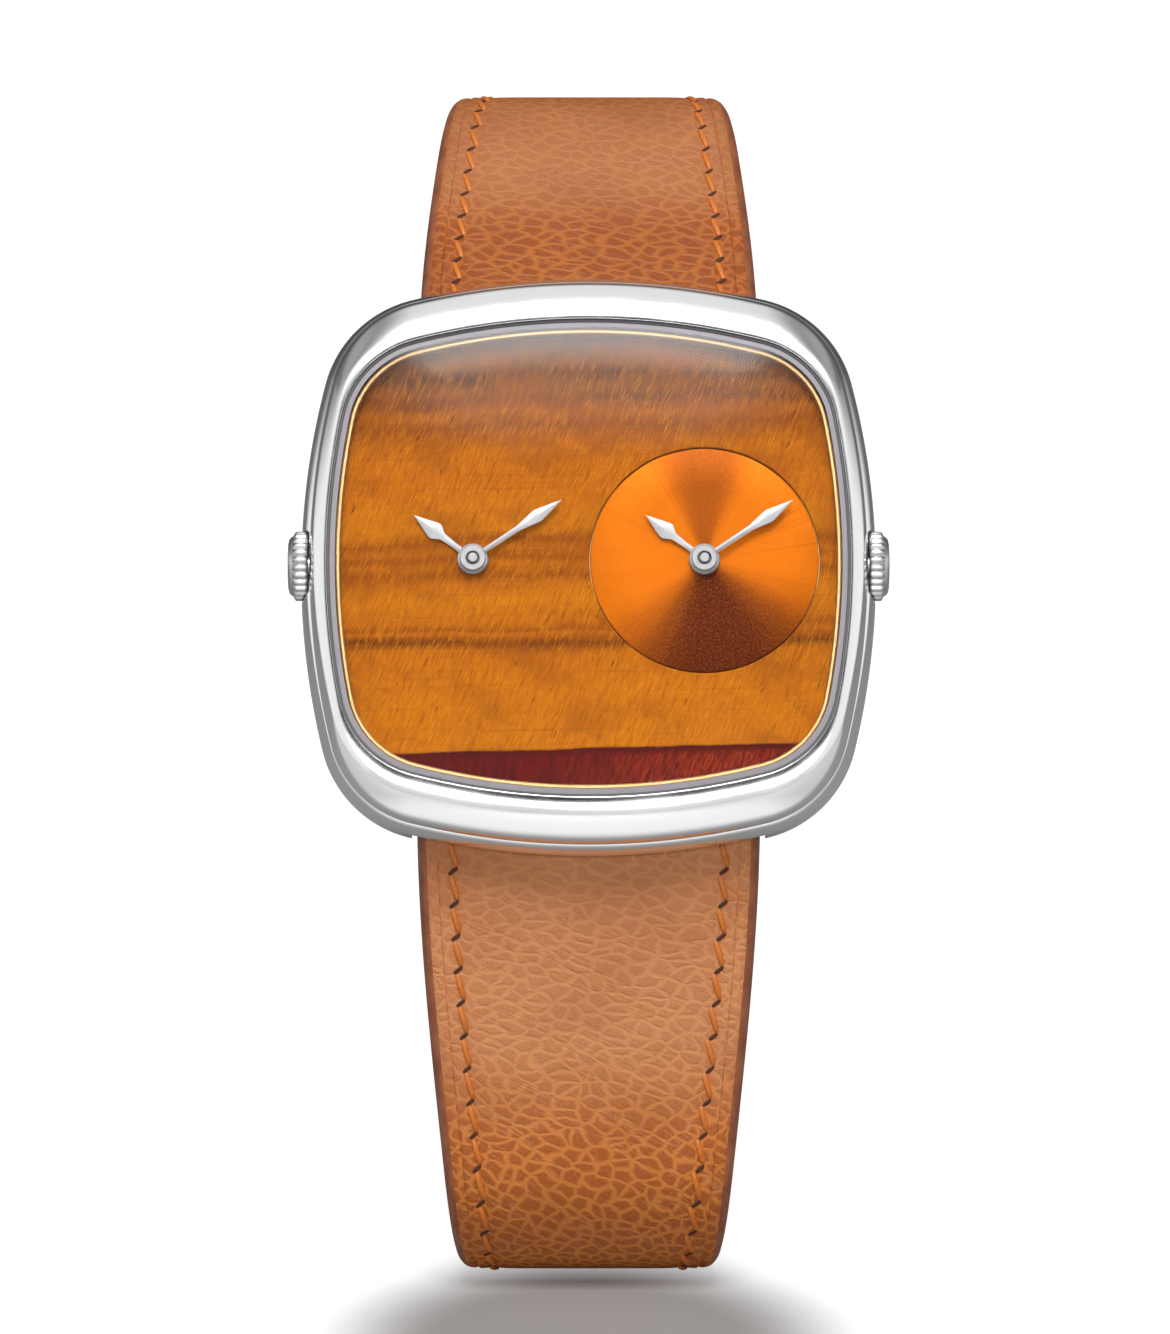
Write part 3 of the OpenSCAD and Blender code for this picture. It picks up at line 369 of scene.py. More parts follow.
crown_at = in_case.inverted() @ Vector(joint["right_crown_turn"]["pos_m"])
scoop_r, scoop_x, bore_r = 2.45 * mm, 17.9 * mm, 0.9 * mm
for way in (-1, 1):
    for start, radius in ((scoop_x, scoop_r), (cavity[0] - mm, bore_r)):
        carve(body, rod((way * start, 0, crown_at.z), (way * far, 0, crown_at.z), radius, 96))
    for end in (-1, 1):
        carve(body, rod((way * pocket_w / 2, end * bar_y, bar_z),
                        (way * (pocket_w / 2 + lug_w), end * bar_y, bar_z), lug_r), "UNION")
steel = polished("polished_steel", (0.8, 0.8, 0.805, 1), 0.13)
piece(body, "case_shell", [steel], "case", "polished_steel", "case_body", place=in_case, crease=28)


# Case back: a flat steel plate held by four screws on a thin black gasket.
# The CAD plates are right as they are, so they only get their brushed finish.
def brushed(name, tone, roughness, grain=(0.4, 14, 6)):
    """Satin metal: long fine lines that run one way."""
    metal = Finish(name)
    place = metal.on_case()
    lines = metal.noise(metal.stretch(place, grain), 1.0, 4.0, 0.6)
    return metal.skin({"Base Color": tone, "Metallic": 1.0, "Roughness": lines * 0.2 + roughness - 0.1,
                       "Normal": metal.bump(0.35, 0.02, lines)})


def dress(nodes, finish):
    """Gives CAD nodes their finish."""
    for name in nodes:
        mesh = frame["nodes"][name].data
        mesh.materials.clear()
        mesh.materials.append(finish)


def rubber(name, tone):
    """Moulded rubber or nylon: matt, with a faint grain."""
    soft = Finish(name)
    grain = soft.noise(soft.on_case(), 12.0, 4.0)
    return soft.skin({"Base Color": tone, "Roughness": grain * 0.2 + 0.5,
                      "Normal": soft.bump(0.3, 0.02, grain)})


dress(["case_back"], brushed("satin_back", (0.66, 0.66, 0.67, 1), 0.32))
dress(["case_back_screws"], brushed("screw_steel", (0.72, 0.72, 0.73, 1), 0.25, (3, 3, 3)))
black_rubber = rubber("gasket_rubber", (0.03, 0.03, 0.032, 1))
dress(["case_back_gasket", "left_crown_seal", "right_crown_seal"], black_rubber)


# Movements: two small quartz movements in a plastic holder, shut in under the dial.
# They keep their CAD shapes and get gilt, nickel, copper, board and plastic finishes.
gilt = brushed("movement_gilt", (0.8, 0.6, 0.28, 1), 0.35, (6, 6, 6))
nickel = brushed("bridge_nickel", (0.7, 0.69, 0.66, 1), 0.3)
wheel_gilt = brushed("wheel_gilt", (0.85, 0.66, 0.33, 1), 0.25, (9, 9, 9))
motor_steel = brushed("motor_steel", (0.42, 0.43, 0.45, 1), 0.35)
winding = brushed("coil_winding", (0.72, 0.3, 0.12, 1), 0.35, (22, 0.5, 0.5))
solder_mask = rubber("board_mask", (0.02, 0.14, 0.06, 1))
holder_plastic = rubber("holder_plastic", (0.06, 0.06, 0.065, 1))
dress(["dial_plate"], gilt)
dress(["movement_holder"], holder_plastic)
for side in ("left", "right"):
    for part, finish in (("main_plate", gilt), ("train_bridge", nickel), ("battery", nickel),
                         ("bridge_screws", motor_steel), ("stator", motor_steel), ("rotor", motor_steel),
                         ("coil", winding), ("circuit_board", solder_mask), ("intermediate_wheel", wheel_gilt),
                         ("centre_wheel", wheel_gilt), ("minute_wheel", wheel_gilt), ("hour_wheel", wheel_gilt),
                         ("crown_tube", nickel), ("stem", nickel)):
        dress([side + "_" + part], finish)


# Stone dial: a thin slab of banded stone, ground flat and polished, with a round hole for the
# small dial and a small one for the left hands. The hole's lip is a little chipped by the drill.
def disc_edge(bm, centre, radius, height, segments, chips=0.0):
    """One round ring of verts, its radius a little uneven where the stone chips."""
    ring = bmesh.ops.create_circle(bm, cap_ends=False, segments=segments, radius=radius)["verts"]
    for number, vert in enumerate(ring):
        wear = math.sin(number * 1.7) * math.sin(number * 0.37 + 1) * math.sin(number * 3.1 + 2)
        vert.co *= 1 + chips * max(wear, 0) / radius
    bmesh.ops.translate(bm, vec=(centre, 0, height), verts=ring)
    return ring


def stone_material():
    """Banded stone: level bands of gold and brown, a red band at six, and slanted silky fibres. Towards twelve
    the bands are darkened further by painted shade from the rim.
    """
    stone = Finish("banded_stone")
    place = stone.on_case()
    level = stone.node("SeparateXYZ", {"Vector": place}, output="Y")
    side = level.also("X")
    sway = stone.noise(stone.stretch(place, (0.07, 0.2, 1)), 1.0, 2.0)
    ripple = stone.noise(stone.stretch(place, (0.1, 1.2, 1), move=(3, 1, 0)), 1.0, 2.0)
    height = level - side * 0.02 + (sway - 0.5) * 2.2 + (ripple - 0.5) * 0.5
    gold, amber, brown, umber = (174, 98, 1), (160, 84, 1), (132, 62, 2), (86, 34, 2)
    bands = (
        (0.0, gold), (0.25, (172, 94, 1)), (0.315, amber), (0.332, umber), (0.342, brown), (0.352, amber),
        (0.36, brown), (0.374, amber), (0.42, gold), (0.455, amber), (0.475, brown), (0.49, amber),
        (0.505, brown), (0.52, amber), (0.54, brown), (0.56, gold), (0.64, (168, 88, 3)), (0.74, (162, 86, 6)),
        # The stops towards twelve are partly the stone's brown bands and partly painted shade, darker where the
        # rim shades the top of the dial.
        (0.785, (122, 60, 8)), (0.81, (144, 74, 10)), (0.83, (92, 42, 6)), (0.85, (112, 58, 10)),
        (0.872, (70, 32, 8)), (0.89, (98, 52, 12)), (0.93, (66, 34, 10)), (1.0, (58, 32, 12)))
    tone = stone.node("ValToRGB", {"Fac": (height + 16.0) * (1 / 32)},
                      stops=[(stop, shade(*colour)) for stop, colour in bands])
    lean = math.radians(-22)
    silk = stone.noise(stone.stretch(place, (14, 1.2, 1), turn=lean), 1.0, 5.0, 0.7)
    strands = stone.noise(stone.stretch(place, (6, 0.7, 1), turn=lean, move=(4, 9, 0)), 1.0, 4.0, 0.65)
    tone = stone.mix(stone.ramp(silk, 0.45, 0.7, 0.0, 0.6), tone, shade(208, 132, 4))
    tone = stone.mix(stone.ramp(strands, 0.48, 0.75, 0.0, 0.55), tone, shade(104, 44, 2))
    fleck = stone.noise(stone.stretch(place, (5.5, 0.9, 1), turn=lean, move=(11, 3, 0)), 1.0, 2.0, 0.4)
    tone = stone.mix(stone.ramp(fleck, 0.7, 0.77, 0.0, 0.75), tone, shade(70, 26, 4))
    line = stone.noise(stone.stretch(place, (0.12, 6.5, 1), turn=0.02), 1.0, 4.0, 0.75)
    tone = stone.mix(stone.ramp(line, 0.52, 0.72, 0.0, 0.35), tone, shade(110, 50, 4))
    cloud = stone.noise(stone.stretch(place, (0.25, 0.5, 1), turn=lean, move=(2, 5, 0)), 1.0, 3.0)
    tone = stone.mix(stone.ramp(cloud, 0.4, 0.7, 0.0, 0.5), tone, shade(134, 66, 1))
    edge = level - side * 0.028 + (stone.noise(place, 0.35, 3.0) - 0.5) * 0.3
    grain = stone.noise(stone.stretch(place, (3.2, 0.5, 1), turn=lean / 3), 1.0, 5.0, 0.7)
    wine = stone.mix(stone.ramp(grain, 0.35, 0.65), shade(66, 2, 6), shade(98, 12, 8))
    wine = stone.mix(stone.ramp(side, -6.0, 9.0) * stone.ramp(silk, 0.4, 0.7), wine, shade(156, 52, 4))
    wine = stone.mix(stone.ramp(edge, -12.9, -12.3), wine, shade(70, 8, 6))
    tone = stone.mix(stone.ramp(edge, -12.28, -12.1, 1.0, 0.0), tone, wine)
    tone = stone.mix(1.0, tone, (0.76, 0.78, 0.5, 1), "MULTIPLY")
    return stone.skin({"Base Color": tone, "Roughness": silk * 0.15 + 0.4, "Specular IOR Level": 0.05,
                       "Normal": stone.bump(0.1, 0.01, silk)})


stone_size = outline_of("stone_dial", 5.8 * mm)
stone_low, stone_top = reach("stone_dial", outward)
small_r, small_gap, chamfer = 7.3 * mm, 0.06 * mm, 0.05 * mm
hand_hole_r = 0.95 * mm
stone = bmesh.new()
levels = ((stone_low, 0.0), (stone_top - chamfer, 0.0), (stone_top, chamfer))
outer = [cushion(stone, inside(stone_size, inset), height) for height, inset in levels]
holes = [[disc_edge(stone, hands_x, small_r + small_gap + inset, height, 180, 0.09 * mm if inset else 0.0)
          for height, inset in levels],
         [disc_edge(stone, -hands_x, hand_hole_r + inset / 2, height, 48) for height, inset in levels]]
for loops in [outer] + holes:
    wall(stone, loops)
for level in (0, -1):
    rims = [edge for ring in (outer, holes[0], holes[1]) for edge in ring_edges(stone, ring[level])]
    bmesh.ops.triangle_fill(stone, use_beauty=True, edges=rims)
piece(stone, "stone_slab", [stone_material()], "case", "tiger_eye", "stone_dial", place=in_case, crease=20)


# Small dial: a round plate, plated and brushed from its middle outwards, let into the stone.
# Its fine rays are in its colour and its normals. A dark wedge below and a faint one above are painted
# reflection shade.
def turned(bm, profile, centre=(0, 0, 0), axis=(0, 0, 1), steps=64):
    """Spins a profile of (radius, height) points about an axis."""
    verts = [bm.verts.new((radius, 0, height)) for radius, height in profile]
    edges = [bm.edges.new(pair) for pair in zip(verts, verts[1:])]
    spun = set(verts)
    before = set(bm.verts)
    bmesh.ops.spin(bm, geom=verts + edges, cent=(0, 0, 0), axis=(0, 0, 1), angle=2 * math.pi, steps=steps,
                   use_merge=True)
    spun |= {v for v in bm.verts if v not in before}
    spun = [v for v in spun if v.is_valid]
    turn = Vector((0, 0, 1)).rotation_difference(Vector(axis)).to_matrix().to_4x4()
    bmesh.ops.transform(bm, matrix=Matrix.Translation(centre) @ turn, verts=spun)
    return spun


def sunray_material():
    """Brushed copper: rays from the middle, with painted reflection shade that darkens it towards six and a
    little at twelve.
    """
    rays = Finish("sunray_copper")
    place = rays.on_case()
    spot = rays.node("VectorMath", {0: place, 1: (hands_x / mm, 0, 0)}, operation="SUBTRACT")
    x = rays.node("SeparateXYZ", {"Vector": spot}, output="X")
    y = x.also("Y")
    way = rays.sums("ARCTAN2", y, x)
    round_x = rays.sums("COSINE", way)
    round_y = rays.sums("SINE", way)
    spin = rays.node("CombineXYZ", {"X": round_x, "Y": round_y, "Z": 0.0})
    fine = rays.noise(spin, 60.0, 4.0, 0.7)
    coarse = rays.noise(spin, 7.0, 2.0, 0.5)
    grit = rays.noise(place, 7.0, 4.0, 0.8)
    # Painted reflection shade: a dark wedge towards six and a faint one towards twelve, set by direction round
    # the middle.
    under = round_x * 0.174 - round_y * 0.985 + (coarse - 0.5) * 0.1
    over = round_y + (coarse - 0.5) * 0.04
    tone = rays.mix(rays.ramp(over, 0.86, 1.0, 0.0, 0.7), shade(170, 86, 1), shade(96, 40, 4))
    tone = rays.mix(rays.ramp(under, 0.25, 1.0), tone, shade(58, 14, 1))
    tone = rays.mix(rays.ramp(grit, 0.4, 0.75, 0.0, 0.2), tone, shade(204, 112, 4))
    tone = rays.mix(rays.ramp(fine, 0.5, 0.8, 0.0, 0.4), tone, shade(96, 36, 2))
    return rays.skin({"Base Color": tone, "Metallic": 0.3, "Roughness": fine * 0.12 + 0.36,
                      "Specular IOR Level": 0.05, "Normal": rays.bump(0.4, 0.03, fine + grit * 0.3)})


small_low, small_top = reach("small_dial", outward)
small = bmesh.new()
turned(small, [(hand_hole_r, small_low), (small_r, small_low), (small_r, small_top - 0.06 * mm),
               (small_r - 0.02 * mm, small_top - 0.02 * mm), (small_r - 0.07 * mm, small_top),
               (small_r * 0.66, small_top), (small_r * 0.33, small_top), (hand_hole_r, small_top),
               (hand_hole_r, small_low)], (hands_x, 0, 0), steps=128)
piece(small, "sunray_dial", [sunray_material()], "case", "small_dial_copper", "small_dial", place=in_case)


# Hands: lance hands cut from steel, with a ridge down the middle and a turned hub.
# Each half is the ridge line drawn out to the hand's edge and down, and is then mirrored.
def satin_steel(name, tone):
    """Steel rubbed satin before it is cut: even, with hardly any grain."""
    metal = Finish(name)
    grain = metal.noise(metal.on_case(), 5.0, 3.0)
    return metal.skin({"Base Color": tone, "Metallic": 0.6, "Roughness": grain * 0.1 + 0.36})


hand_steel = satin_steel("hand_steel", (0.28, 0.28, 0.285, 1))
# The hub's groove is near-black: painted shade, as the groove is too shallow to hold its own.
hub_groove_shade = satin_steel("hub_groove_shade", (0.06, 0.06, 0.065, 1))
blade_t, groove_r, groove_w = 0.14 * mm, 0.375 * mm, 0.06 * mm


def lance(outline, length, low, high):
    """Half the hand's section, drawn sideways from the ridge, then mirrored. The tip points along +y."""
    bm = bmesh.new()
    ridge = [bm.verts.new((0, share * length, high)) for share, width in outline]
    chain = [bm.edges.new(pair) for pair in zip(ridge, ridge[1:])]
    flank = 0.45 * (high - low)
    for drop, out in ((high - flank, 1.0), (low, 1.0), (low, 0.0)):
        verts, chain = draw_out(bm, chain)
        for vert in verts:
            width = min(outline, key=lambda point: abs(point[0] * length - vert.co.y))[1]
            vert.co = (width * out, vert.co.y, drop)
    bmesh.ops.mirror(bm, geom=bm.verts[:] + bm.edges[:] + bm.faces[:], axis="X", merge_dist=0.001 * mm)
    bmesh.ops.holes_fill(bm, edges=[e for e in bm.edges if e.is_boundary], sides=12)
    return bm


def tip(node, side):
    """How far a hand reaches from its axis, and its direction, clockwise from twelve."""
    flat = [in_case.inverted() @ v.co - in_case.inverted() @ hand_axis[side]
            for v in frame["nodes"][node].data.vertices]
    end = max(flat, key=lambda p: p.xy.length)
    return end.xy.length, math.atan2(end.x, end.y)


lances = {
    "minute": ([(-0.02, 0.2), (0.12, 0.15), (0.52, 0.18), (0.725, 0.42), (0.76, 0.39), (1, 0.012)],
               [(0, 0.0), (0.8, 0.0), (0.83, 0.04), (0.83, 0.19), (0.77, 0.25), (0.47, 0.25), (0.43, 0.2),
                (0.42, 0.1), (0.32, 0.1), (0.31, 0.3), (0.25, 0.34), (0, 0.35)]),
    "hour": ([(-0.02, 0.25), (0.3, 0.17), (0.52, 0.23), (0.63, 0.56), (0.68, 0.53), (1, 0.012)],
             [(0.6, 0.0), (0.95, 0.0), (1.0, 0.05), (1.0, 0.12), (0.93, 0.2), (0.6, 0.2), (0.6, 0.0)]),
}
for side in ("left", "right"):
    for kind, (outline, hub) in lances.items():
        node = side + "_" + kind + "_hand"
        low = reach(node, outward)[0]
        blade_top = low + blade_t
        length, angle = tip(node, side)
        made = lance([(share, width * mm) for share, width in outline], length, low, blade_top)
        bmesh.ops.rotate(made, cent=(0, 0, 0), matrix=Matrix.Rotation(-angle, 3, "Z"), verts=made.verts)
        turned(made, [(radius * mm, low + height * mm) for radius, height in hub], steps=40)
        # Faces in the hub's groove take the dark finish: painted shade.
        for face in made.faces:
            off = face.calc_center_median().xy.length
            face.material_index = 1 if abs(off - groove_r) < groove_w else 0
        middle = in_case.inverted() @ hand_axis[side]
        bmesh.ops.translate(made, vec=(middle.x, middle.y, 0), verts=made.verts)
        riding = side + ("_centre" if kind == "minute" else "_hour")
        piece(made, node + "_lance", [hand_steel, hub_groove_shade], riding, "hand_steel", node, place=in_case,
              crease=20)


# Dial flange: a thin gilt ring that holds the dial down, seen as a fine line inside the crystal.
# A ring of four loops of the outline, its top inner edge broken by a small bevel.
def band(size, width, low, high, bevel):
    bm = bmesh.new()
    loops = [cushion(bm, inside(size, inset), height) for inset, height in (
        (0, low), (0, high - bevel), (bevel, high), (width - bevel, high), (width, high - bevel), (width, low))]
    wall(bm, loops + loops[:1])
    return bm


flange_size = outline_of("dial_flange", 5.8 * mm)
flange_low, flange_top = reach("dial_flange", outward)
flange_w, flange_bevel = 0.3 * mm, 0.08 * mm
flange_gilt = brushed("flange_gilt", (0.5, 0.33, 0.15, 1), 0.4, (5, 5, 5))
piece(band(flange_size, flange_w, flange_low, flange_top, flange_bevel), "gilt_flange", [flange_gilt],
      "case", "flange_brass", "dial_flange", place=in_case)


# Crystal: a sheet of clear crystal, very slightly domed, with a ground bevel round its edge,
# pressed into a thin grey nylon gasket. Lamps shine through the crystal on to the dial.
def crystal_material(name, tone, roughness, clear):
    glass = Finish(name)
    faint = glass.noise(glass.on_case(), 0.4, 2.0)
    shine = glass.node("BsdfPrincipled", {
        "Base Color": tone, "Roughness": faint * roughness + roughness * 0.5, "IOR": 1.5,
        "Transmission Weight": clear})
    through = glass.node("BsdfTransparent", {"Color": (0.86, 0.86, 0.86, 1)})
    shadow = glass.node("LightPath", {}, output="Is Shadow Ray")
    return glass.surface(glass.node("MixShader", {0: shadow, 1: shine, 2: through}))


crystal_size = outline_of("crystal", 6.2 * mm)
crystal_top = reach("crystal", outward)[1]
crystal_bevel, crystal_edge, crystal_dome = 0.34 * mm, 0.16 * mm, 0.4 * mm
crystal_middle = (0.6 * mm, 0.6 * mm, 0.3 * mm)
bevelled = inside(crystal_size, crystal_bevel)
edge_top = crystal_top - crystal_dome
lens = bmesh.new()
dome_rings = 10
lens_loops = [cushion(lens, crystal_size, crystal_z), cushion(lens, crystal_size, edge_top - crystal_edge),
              cushion(lens, bevelled, edge_top)]
wall(lens, lens_loops)
rim_faces = len(lens.faces)
top_loops = [lens_loops[-1]]
for step in range(1, dome_rings):
    left = 1 - step / dome_rings
    top_loops.append(cushion(lens, between(crystal_middle, bevelled, left),
                             edge_top + crystal_dome * (1 - left ** 3)))
wall(lens, top_loops)
lens.faces.new(top_loops[-1])
lens.faces.new(lens_loops[0])
for number, face in enumerate(lens.faces):
    face.material_index = 1 if number < rim_faces else 0
piece(lens, "clear_crystal",
      [crystal_material("clear_crystal", (1, 1, 1, 1), 0.004, 1.0),
       crystal_material("ground_bevel", (0.4, 0.37, 0.4, 1), 0.3, 0.0)],
      "case", "sapphire", "crystal", place=in_case, crease=12)
gasket_size = outline_of("crystal_gasket", 6.39 * mm)
gasket_low, gasket_top = reach("crystal_gasket", outward)
gasket_w, gasket_drop, gasket_bevel = 0.18 * mm, 0.25 * mm, 0.03 * mm
piece(band(gasket_size, gasket_w, gasket_low, gasket_top - gasket_drop, gasket_bevel), "nylon_gasket",
      [rubber("nylon_gasket", (0.1, 0.1, 0.105, 1))], "case", "seal_rubber", "crystal_gasket", place=in_case)


# Crowns: small polished steel knobs with a coin edge and a plain stepped cap.
# The profile is spun, and the verts of the coin edge are drawn in between the flutes.
crown_steel = polished("crown_steel", (0.52, 0.52, 0.52, 1), 0.32)
flutes, flute_steps, flute_depth = 26, 8, 0.17 * mm
crown_low, crown_high = reach("right_crown", across)
crown_r = 2.25 * mm
coin_len = 0.95 * mm
for side, way in (("left", -1), ("right", 1)):
    knob = bmesh.new()
    coin = crown_low + coin_len
    turned(knob, [(0, crown_low + 0.7 * mm), (1.35 * mm, crown_low + 0.7 * mm), (1.35 * mm, crown_low),
                  (crown_r - 0.2 * mm, crown_low), (crown_r - 0.04 * mm, crown_low + 0.1 * mm),
                  (crown_r, crown_low + 0.18 * mm), (crown_r, coin - 0.2 * mm),
                  (crown_r - 0.05 * mm, coin - 0.1 * mm), (crown_r - 0.24 * mm, coin),
                  (crown_r - 0.3 * mm, coin + 0.02 * mm), (crown_r - 0.36 * mm, coin + 0.14 * mm),
                  (crown_r - 0.5 * mm, crown_high - 0.06 * mm), (crown_r - 0.75 * mm, crown_high),
                  (0.6 * mm, crown_high), (0, crown_high)], steps=flutes * flute_steps)
    for vert in knob.verts:
        out = vert.co.xy.length
        if out > crown_r - 0.22 * mm:
            groove = 0.5 - 0.5 * math.cos(math.atan2(vert.co.y, vert.co.x) * flutes)
            vert.co.xy *= 1 - flute_depth * groove ** 2 / out
    bmesh.ops.rotate(knob, cent=(0, 0, 0), matrix=Matrix.Rotation(way * math.pi / 2, 3, "Y"), verts=knob.verts)
    bmesh.ops.translate(knob, vec=(0, crown_at.y, crown_at.z), verts=knob.verts)
    piece(knob, side + "_coin_crown", [crown_steel], side + "_crown_turner", "crown_steel", side + "_crown",
          place=in_case, crease=40)


# Strap: two tapered straps of grained calf with a smooth calf lining, burnished at the edges
# and sewn by hand. Each is laid out flat, one half section spun round the tip or drawn straight,
# widened to its taper, and then bent along its route round the loop.
class Route:
    """A line in the loop's plane, of straight runs and arcs: (length, bend), bend in radians a metre."""

    def __init__(self, start, heading, runs):
        self.start = start
        self.heading = heading
        self.runs = runs
        self.length = sum(length for length, bend in runs)

    def at(self, distance):
        y, z = self.start
        heading = self.heading
        for length, bend in self.runs:
            step = min(distance, length)
            if bend:
                y += (math.sin(heading + bend * step) - math.sin(heading)) / bend
                z += (math.cos(heading) - math.cos(heading + bend * step)) / bend
            else:
                y += math.cos(heading) * step
                z += math.sin(heading) * step
            heading += bend * step
            distance -= step
            if distance <= 0:
                break
        return y, z, heading

    def lift(self, outside, distance, height):
        """The point at a height over the line, on the loop's outside."""
        y, z, heading = self.at(distance)
        return y + outside * math.sin(heading) * height, z - outside * math.cos(heading) * height

    def bend(self, bm, outside):
        for vert in bm.verts:
            vert.co.yz = self.lift(outside, vert.co.y, vert.co.z)


lower_pin = Vector(joint["lower_strap_swing"]["pos_m"])
upper_pin = Vector(joint["upper_strap_swing"]["pos_m"])
buckle_pin = Vector(joint["buckle_swing"]["pos_m"])
strap_t, strap_end_w = 2.3 * mm, 16 * mm
strap_w = reach("upper_strap_leather", across)[1] * 2
foot_r, heel_r, loop_r = 8 * mm, 13 * mm, 55.5 * mm
tail_r = loop_r + strap_t + 0.3 * mm
heel_z = heel_r + strap_t / 2 - lower_pin.z
heel_y = math.sqrt((tail_r - heel_r) ** 2 - heel_z ** 2)
heel_angle = math.atan2(-heel_z, heel_y)
tip_angle, pin_angle = math.radians(24), math.radians(-2)
lower_route = Route(lower_pin.yz, -math.pi / 2, [
    (lower_pin.z - strap_t / 2 - foot_r, 0), (foot_r * math.pi / 2, 1 / foot_r), (heel_y - foot_r, 0),
    (heel_r * (math.pi / 2 - heel_angle), 1 / heel_r), (tail_r * (tip_angle + heel_angle), 1 / tail_r)])
rise, straight = math.radians(36), 17 * mm
rise_way = Vector((math.cos(rise), math.sin(rise)))
rise_side = Vector((math.sin(rise), -math.cos(rise)))
knee_start = (upper_pin - lower_pin).yz + straight * rise_way
knee_r = (loop_r ** 2 - knee_start.length_squared) / (2 * (knee_start.dot(rise_side) + loop_r))
knee = knee_start + knee_r * rise_side
knee_angle = math.atan2(knee.y, knee.x)
upper_route = Route(upper_pin.yz, rise, [
    (straight, 0), (knee_r * (rise + math.pi / 2 - knee_angle), -1 / knee_r),
    (loop_r * (knee_angle - pin_angle), -1 / loop_r)])
taper_len, pad_len, pad_t = 45 * mm, 12 * mm, 1.08 * mm
leather_seam, rim_w = -0.115 * mm, 3 * mm


def strap_width(distance):
    share = max(0, min(distance / taper_len, 1))
    return strap_w - (strap_w - strap_end_w) * (3 - 2 * share) * share ** 2


def padding(distance):
    """The straps are thicker over the stretch that holds a spring bar."""
    return pad_t * (1 - max(distance, 0) / pad_len) ** 1.5 / 2 if distance < pad_len else 0


def lay_strap(section, length, round_tip):
    """Lays a strap flat along y: the half section, (distance from the edge, height) from the middle of its
    top to the middle of its underside, is spun round the tip and drawn back to the spring bar."""
    bm = bmesh.new()
    half = strap_end_w / 2
    end = length - half if round_tip else length
    verts = [bm.verts.new((half - inset, end, height)) for inset, height in section]
    chain = [bm.edges.new(pair) for pair in zip(verts, verts[1:])]
    if round_tip:
        spun = bmesh.ops.spin(bm, geom=verts + chain, cent=(0, end, 0), axis=(0, 0, 1), angle=math.pi, steps=32)
        chain += [e for e in spun["geom_last"] if isinstance(e, bmesh.types.BMEdge)]
    else:
        bmesh.ops.mirror(bm, geom=verts + chain, axis="X", merge_dist=0.001 * mm)
        chain = bm.edges[:]
    rows = round(end / (1.1 * mm))
    for row in range(rows):
        verts, chain = draw_out(bm, chain)
        bmesh.ops.translate(bm, vec=(0, -end / rows, 0), verts=verts)
    bmesh.ops.remove_doubles(bm, verts=bm.verts, dist=0.01 * mm)
    bmesh.ops.holes_fill(bm, edges=[e for e in bm.edges if e.is_boundary], sides=400)
    return bm


def taper_strap(bm, outer_face):
    """Widens a flat strap to its taper and pads it by the spring bar. The rims keep their shape."""
    half = strap_end_w / 2
    for vert in bm.verts:
        room = strap_width(vert.co.y) / 2 - half
        off = abs(vert.co.x)
        if room > 0:
            grown = off + room if off > half - rim_w else off * (half + room - rim_w) / (half - rim_w)
            vert.co.x = math.copysign(grown, vert.co.x)
        if abs(vert.co.z) > strap_t / 4:
            vert.co.z += outer_face * padding(vert.co.y)


def lay_grain(bm, top):
    """A flat map in millimetres, so that the grain follows the leather round the loop and over its edge."""
    layer = bm.loops.layers.uv.new("grain")
    for face in bm.faces:
        for loop in face.loops:
            place = loop.vert.co
            drop = abs(top - place.z)
            loop[layer].uv = ((place.x + math.copysign(drop, place.x)) / mm, place.y / mm)


